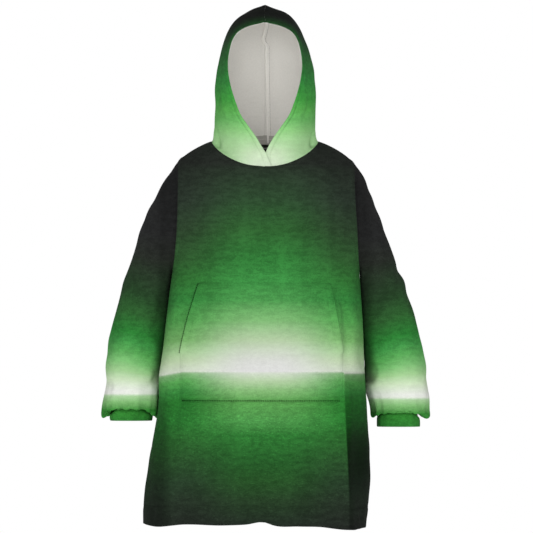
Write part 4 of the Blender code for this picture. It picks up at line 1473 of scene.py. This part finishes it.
# Print and painted shade on the body's sides: the fold's place, and where and how strongly
# each shade comes in
FOLD_X = (-0.56, -0.90, 0.1868, 0.1985)
FOLD_WIDTH = (-0.001, 0.004)
FOLD_SHADE_STARTS = (-0.545, -0.560)
FOLD_SHADE_DEEPENS = (-0.555, -0.74, 0.30, 0.86)
FOLD_SHADE_EASES = (-0.77, -0.89, 0.0, 0.42)
RIGHT_EDGE = (-0.212, -0.245)
RIGHT_SHADE_STARTS = (-0.56, -0.70)
RIGHT_SHADE = 0.45
LEAST_SHADE = 0.12


def printed_and_painted_side_shade(tree, x, z):
    """Print and painted shade darken the body's sides: past the left fold and near the right edge.
    """
    past_fold = minus(tree, x, ranged(tree, z, *FOLD_X))
    deep = minus(tree, ranged(tree, z, *FOLD_SHADE_DEEPENS), ranged(tree, z, *FOLD_SHADE_EASES))
    left = times(tree, ranged(tree, past_fold, *FOLD_WIDTH),
                 times(tree, ranged(tree, z, *FOLD_SHADE_STARTS), deep))
    right = times(tree, ranged(tree, x, *RIGHT_EDGE), ranged(tree, z, *RIGHT_SHADE_STARTS))
    shade = minus(tree, 1.0, maths(tree, "MULTIPLY_ADD", right, RIGHT_SHADE, left))
    return maths(tree, "MAXIMUM", shade, LEAST_SHADE)


# Print and painted shade on the sleeves' inner side: the heights of the tuck, how far it moves
# the shade, and strengths
TUCK_ABOVE = (-0.44, -0.55)
TUCK_BELOW = (-0.588, -0.570)
TUCK_MOVES = 0.006
TUCK_SHADE = 0.45
INNER_SIDE = (0.268, 0.242)
INNER_SHADE = 0.35
INNER_ABOVE = (-0.605, -0.575)


def printed_and_painted_inner_shade(tree, x, z):
    """The sleeves' inner side: print and painted shade, darkest at the tuck above the wrist."""
    tuck = times(tree, ranged(tree, z, *TUCK_ABOVE), ranged(tree, z, *TUCK_BELOW))
    out = minus(tree, maths(tree, "ABSOLUTE", x), times(tree, tuck, TUCK_MOVES))
    amount = maths(tree, "MULTIPLY_ADD", tuck, TUCK_SHADE, INNER_SHADE)
    inside = times(tree, ranged(tree, out, *INNER_SIDE), amount)
    return minus(tree, 1.0, times(tree, inside, ranged(tree, z, *INNER_ABOVE)))


# On the hood: how far forward the face edge's print begins, and where the crown takes it up
EDGE_PRINT_FROM = 0.045
CROWN = (0.17, 0.26, 0.0, 0.9)


def hood_edge_height(tree, y, z):
    """On the hood the print follows the face edge: near it the crown takes the greens below."""
    near = maths(tree, "MAXIMUM", minus(tree, times(tree, y, -1.0), EDGE_PRINT_FROM), 0.0)
    return minus(tree, z, times(tree, near, ranged(tree, z, *CROWN)))


# Noises in the print: scale, how much faster each varies on each axis and, if not 3, detail
TUFTS = (300.0, (1.0, 1.0, 1.3))
CLUMPS = (60.0, (1.0, 1.0, 2.2))
STREAKS = (14.0, (1.0, 1.0, 6.5), 2.0)
FALLS = (26.0, (1.0, 1.0, 0.16), 2.0)
FLECKS = (150.0, (1.0, 1.0, 2.6))
# How far the tufts move the print's edges, and how late the sleeves' inner side changes
RAGGED = 0.003
LAG_ACROSS = (0.345, 0.250, 0.0, 0.022)
LAG_ABOVE = (-0.585, -0.53)
# How much the noises lighten and darken: less on the light parts of the print
STREAKS_SHARE = 0.40
CONTRAST = (0.03, 0.55, 0.27, 0.06)
SWING = (1.05, 1.75, -1.0, 1.0)
# Pale flecks low on the body
FLECKS_SHOW = (0.56, 0.72)
FLECKS_BELOW = (-0.59, -0.66)
FLECKS_LIGHTEN = 0.55


def printed_fleece(name, table, middle_x=0.0, plain_until=0.03, side_from=0.20, slant=0.0,
                   shift=0.0, nap=1.0, brightness=1.0, place_on="body"):
    """Printed brushed fleece: the fade, tuft by tuft unevenness, painted shade, a matt bumpy nap.
    """
    finish, tree, shader = new_material(name)
    place = add(tree, "ShaderNodeTexCoord").outputs["Object"]
    parts = add(tree, "ShaderNodeSeparateXYZ", {"Vector": place})
    x, z = parts.outputs["X"], parts.outputs["Z"]
    tufts, clumps, streaks, falls = (stretched_noise(tree, place, *noise)
                                     for noise in (TUFTS, CLUMPS, STREAKS, FALLS))
    ragged = maths(tree, "MULTIPLY_ADD", tufts, RAGGED, -RAGGED / 2)
    if place_on == "hood":
        height = plus(tree, hood_edge_height(tree, parts.outputs["Y"], z), ragged)
    elif place_on == "sleeve":
        lag = times(tree, ranged(tree, maths(tree, "ABSOLUTE", x), *LAG_ACROSS),
                    ranged(tree, z, *LAG_ABOVE))
        height = plus(tree, plus(tree, z, shift), plus(tree, ragged, lag))
    else:
        height = plus(tree, print_height(tree, x, z, slant, shift), ragged)
    middle, sides = (fade(tree, height, [(row[0], row[column]) for row in table])
                     for column in (1, 2))
    across = maths(tree, "ABSOLUTE", minus(tree, x, middle_x))
    colour = add(tree, "ShaderNodeMix",
                 {0: ranged(tree, across, plain_until, side_from), 6: middle, 7: sides},
                 data_type="RGBA").outputs[2]
    long_waves = plus(tree, streaks, falls)
    mixed = plus(tree, plus(tree, tufts, clumps), times(tree, long_waves, STREAKS_SHARE))
    change = times(tree, ranged(tree, luminance(tree, colour), *CONTRAST),
                   ranged(tree, mixed, *SWING))
    shade = maths(tree, "MULTIPLY_ADD", change, nap * brightness, brightness)
    # On the body, print and painted shade darken the sides, and pale flecks lighten it low down
    if place_on == "body":
        shade = times(tree, shade, printed_and_painted_side_shade(tree, x, z))
        flecks = ranged(tree, stretched_noise(tree, place, *FLECKS), *FLECKS_SHOW)
        low = ranged(tree, z, *FLECKS_BELOW, 0.0, FLECKS_LIGHTEN * nap)
        shade = times(tree, shade, plus(tree, 1.0, times(tree, flecks, low)))
    # On the sleeves, print and painted shade darken the inner side beside the body
    if place_on == "sleeve":
        shade = times(tree, shade, printed_and_painted_inner_shade(tree, x, z))
    matt(tree, shader, colour, shade, roughness=0.95, specular=0.04)
    shader.inputs["Sheen Weight"].default_value = 0.015 * nap
    shader.inputs["Sheen Roughness"].default_value = 0.6
    bumps(tree, shader, ((long_waves, 0.11 * nap, 0.006), (clumps, 0.22 * nap, 0.004),
                         (tufts, 0.45 * nap, 0.0015)))
    return finish


def knitted_lining(name, code, depth):
    """Plain light jersey: a fine grain and soft tone changes, matt."""
    finish, tree, shader = new_material(name)
    place = add(tree, "ShaderNodeTexCoord").outputs["Object"]
    grain = add(tree, "ShaderNodeTexNoise",
                {"Vector": place, "Scale": 320.0, "Detail": 2.0,
                 "Roughness": 0.5}).outputs["Fac"]
    shade = add(tree, "ShaderNodeMapRange",
                {"Value": grain, "From Min": 0.3, "From Max": 0.7,
                 "To Min": 0.97, "To Max": 1.03}).outputs["Result"]
    matt(tree, shader, linear(code)[:3], shade, roughness=0.9, specular=0.2)
    bumps(tree, shader, ((grain, depth, 0.0008),))
    return finish


body_fleece = printed_fleece("printed_fleece_body", BODY_PRINT, slant=0.19)
sleeve_fleece = {
    "right": printed_fleece("printed_fleece_sleeve_right", SLEEVE_PRINT, middle_x=-0.40,
                            plain_until=0.06, side_from=0.15, place_on="sleeve"),
    "left": printed_fleece("printed_fleece_sleeve_left", SLEEVE_PRINT, middle_x=0.40,
                           plain_until=0.06, side_from=0.15, shift=0.009,
                           place_on="sleeve"),
}
hood_fleece = printed_fleece("printed_fleece_hood", HOOD_PRINT, plain_until=0.015,
                             side_from=0.09, place_on="hood")
body_thread = printed_fleece("polyester_thread_body", BODY_PRINT, nap=0.2, brightness=0.95)
# A very dark copy of the print: painted shadow lines on the pocket
painted_shadow_thread = printed_fleece("painted_shadow_thread_pocket", BODY_PRINT, nap=0.2, brightness=0.16)
# A very dark copy of the sleeve print: painted shadow under the puff round each cuff
cuff_painted_shadow_thread = printed_fleece("painted_shadow_thread_cuff", SLEEVE_PRINT, nap=0.2,
                               brightness=0.10)
hood_thread = printed_fleece("polyester_thread_hood", HOOD_PRINT, nap=0.2, brightness=0.72,
                             place_on="hood")
lining_jersey = knitted_lining("light_grey_lining_jersey", "#e6e4df", 0.25)
# Lighter than the lining: painted highlight on the seam ridge, and light stitches on the neck tape
ridge_highlight_and_tape_thread_jersey = knitted_lining("light_grey_jersey_ridge_highlight_and_tape_thread", "#f3f1ec", 0.25)
# Darker than the lining: the stitches beside the seam ridge draw its painted shadow
grey_painted_shadow_thread = knitted_lining("grey_seam_thread_painted_shadow", "#8e8c88", 0.25)
tape_cotton = knitted_lining("grey_neck_tape", "#b2b0aa", 0.35)
print("finishes:", ", ".join(sorted(m.name for m in bpy.data.materials)))

# %% [markdown]
# ## Sewing the pieces together
#
# Each surface is closed into a thin shell as thick as its cloth. Each main shell stands in for one
# solid, and a printed line gives the size of the flat cut that shows. The stitches, the neck
# allowance and the lining's seam ridge are attached to the part's root, as the shells are.

# %% Build the pieces and say what each one is
SEAM_RIDGE_THICKNESS = 0.0009
# The lining starts this many columns in from the face edge, where the hood cloth turns inwards
FACE_TURN = FINE


def cut_size(points, closed=False):
    """The flat cut that shows: longest row, longest column and true area of a surface."""
    rows = distance_across(points)[:, -1]
    if closed:
        rows = rows + np.linalg.norm(points[:, -1] - points[:, 0], axis=1)
        points = np.concatenate([points, points[:, :1]], axis=1)
    down, across = np.diff(points, axis=0)[:, :-1], np.diff(points, axis=1)[:-1]
    area = np.linalg.norm(np.cross(down, across), axis=2).sum()
    return float(rows.max()), float(distance_down(points)[-1].max()), float(area)


def sew(name, points, normals, thickness, finish, slot, rounded=(0, 0), closed=False,
        transpose=False):
    """One piece of cloth in the scene, riding with the part in place of its own solid."""
    width, length, area = cut_size(points, closed)
    if transpose:
        points = points.transpose(1, 0, 2)
        normals = normals.transpose(1, 0, 2)
    piece = cloth(name, points, normals, thickness, finish, rounded, closed)
    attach(piece, "root")
    print(f"{name}: {width:.3f} by {length:.3f} m, {area:.3f} m2 of cloth, "
          f"{len(piece.data.polygons)} faces")
    return piece, (width, length), area


pieces = {}
pieces["front_panel"] = sew("front_cloth", front_points, front_normals, FLEECE, body_fleece,
                            "printed_fleece", rounded=(0, 1))
pieces["back_panel"] = sew("back_cloth", back_points, back_normals, FLEECE, body_fleece,
                           "printed_fleece", rounded=(0, 1))
for side in ("left", "right"):
    pieces["sleeve_" + side] = sew("sleeve_cloth_" + side, sleeve_points[side],
                                   tube_normals(sleeve_points[side]), FLEECE,
                                   sleeve_fleece[side], "printed_fleece", closed=True)
    pieces["cuff_" + side] = sew("cuff_cloth_" + side, cuff_points[side],
                                 tube_normals(cuff_points[side]), FLEECE,
                                 sleeve_fleece[side], "printed_fleece", rounded=(0, 1),
                                 closed=True)
    pieces["hood_" + side] = sew("hood_cloth_" + side, *hood_points[side], HOOD_SHELL,
                                 hood_fleece, "printed_fleece", rounded=(1, 0),
                                 transpose=True)
    pieces["hood_lining_" + side] = sew("lining_cloth_" + side,
                                        lining_points[side][:, FACE_TURN:],
                                        hood_points[side][1][:, FACE_TURN:], LINING,
                                        lining_jersey, "hood_lining", rounded=(1, 0),
                                        transpose=True)
pieces["neck_tape"] = sew("neck_tape_cloth", *neck_strip(*NECK_TAPE), TAPE, tape_cotton,
                          "neck_tape", rounded=(1, 1))
pieces["pocket"] = sew("pocket_cloth", pocket_points, pocket_normals, FLEECE, body_fleece,
                       "printed_fleece", rounded=(1, 1))
neck_allowance = sew("back_neck_allowance", *neck_strip(*NECK_ALLOWANCE), TAPE, body_fleece,
                     "printed_fleece", rounded=(1, 1))[0]
# The seam ridge in the lighter jersey: painted highlight
seam_ridge = sew("lining_seam_allowance", *seam_allowance(), SEAM_RIDGE_THICKNESS, ridge_highlight_and_tape_thread_jersey,
                 "hood_lining")[0]

threads = {
    "front_panel": stitches("hem_stitches_front", [hem_path(front_points, front_normals)],
                            body_thread),
    "back_panel": stitches("hem_stitches_back", [hem_path(back_points, back_normals)],
                           body_thread),
    "hood_left": stitches("face_stitches_left", [face_path(*hood_points["left"])], hood_thread),
    "hood_right": stitches("face_stitches_right", [face_path(*hood_points["right"])],
                           hood_thread),
    "pocket": stitches("pocket_stitches", pocket_paths(), body_thread),
    # Grey stitches beside the lining's seam ridge: real stitching, darkened as painted shadow
    "hood_lining_left": stitches("lining_seam_stitches", [lining_seam_path()], grey_painted_shadow_thread),
    "neck_tape": stitches("neck_tape_stitches", [tape_path()], ridge_highlight_and_tape_thread_jersey),
}
# Painted shadow lines of thick dark beads on the pocket's bottom seam and right slit
pocket_shadow_lines = stitches("pocket_seam_painted_shadow_beads", pocket_shadow_line_paths(), painted_shadow_thread,
                       POCKET_SHADOW_LINE_RADIUS)
# Round each cuff's top seam, thick dark beads as painted shadow under the puff
for side in ("left", "right"):
    threads["cuff_" + side] = stitches("cuff_painted_shadow_" + side, [cuff_shadow_path(side)], cuff_painted_shadow_thread,
                                       CUFF_SHADOW_LINE_RADIUS)
for thread in [*threads.values(), pocket_shadow_lines]:
    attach(thread, "root")

for node, (piece, flat, area) in pieces.items():
    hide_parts(node)

# %% [markdown]
# ## Studio
#
# The photo is a catalogue picture: soft even light from the front, a plain white ground, and the
# camera level with the middle of the garment, far enough away that nothing looks widened.

# %% Floor, light and camera
FLOOR_HEIGHT = -1.30
CAMERA_DISTANCE = 30.0
FRAME_WIDTH = 1.267
FRAME_MIDDLE = (0.0036, -0.3007)
SENSOR = 36.0
FLOOR_REACH = 6.0
# The white ground lights the cloth this strongly, and the camera sees it as plain white
GROUND_LIGHT = 0.34

floor_finish, _, floor_shader = new_material("pale_studio_floor")
floor_shader.inputs["Base Color"].default_value = (0.9, 0.9, 0.9, 1)
floor_shader.inputs["Roughness"].default_value = 1.0
floor_shader.inputs["Emission Color"].default_value = (1, 1, 1, 1)
floor_shader.inputs["Emission Strength"].default_value = 0.6
corners = [(x * FLOOR_REACH, y * FLOOR_REACH, FLOOR_HEIGHT)
           for x, y in ((-1, -1), (1, -1), (1, 1), (-1, 1))]
floor = new_piece("studio_floor", np.array(corners), np.array([[0, 1, 2, 3]]), floor_finish)


def softbox(name, place, aim, width, power):
    """A square area light at a place, turned to a point."""
    lamp = bpy.data.lights.new(name, "AREA")
    lamp.size = width
    lamp.energy = power
    body = bpy.data.objects.new(name, lamp)
    body.location = place
    way = np.array(aim) - np.array(place)
    body.rotation_euler = (np.arccos(-way[2] / np.linalg.norm(way)), 0,
                           np.arctan2(way[1], way[0]) - np.pi / 2)
    bpy.context.scene.collection.objects.link(body)
    return body


softbox("key_softbox", (-1.0, -4.2, 0.5), (0, 0, -0.3), 2.0, 62)
softbox("fill_softbox", (1.2, -4.1, 0.3), (0, 0, -0.3), 2.0, 40)

world = bpy.data.worlds.new("studio_white")
bpy.context.scene.world = world
world.use_nodes = True
tree = world.node_tree
ground = tree.nodes["Background"]
ground.inputs["Color"].default_value = (1, 1, 1, 1)
seen = add(tree, "ShaderNodeLightPath").outputs["Is Camera Ray"]
level = add(tree, "ShaderNodeMapRange", {"Value": seen, "To Min": GROUND_LIGHT})
tree.links.new(level.outputs["Result"], ground.inputs["Strength"])
bpy.context.scene.view_settings.view_transform = "Standard"

lens = bpy.data.cameras.new("catalogue_camera")
lens.sensor_width = SENSOR
lens.lens = SENSOR * CAMERA_DISTANCE / FRAME_WIDTH
lens.clip_end = 100.0
camera = bpy.data.objects.new("catalogue_camera", lens)
camera.location = (FRAME_MIDDLE[0], -CAMERA_DISTANCE, FRAME_MIDDLE[1])
camera.rotation_euler = (np.pi / 2, 0, 0)
bpy.context.scene.collection.objects.link(camera)
bpy.context.scene.camera = camera
print("camera", CAMERA_DISTANCE, "m away with a", round(lens.lens, 1), "mm lens")
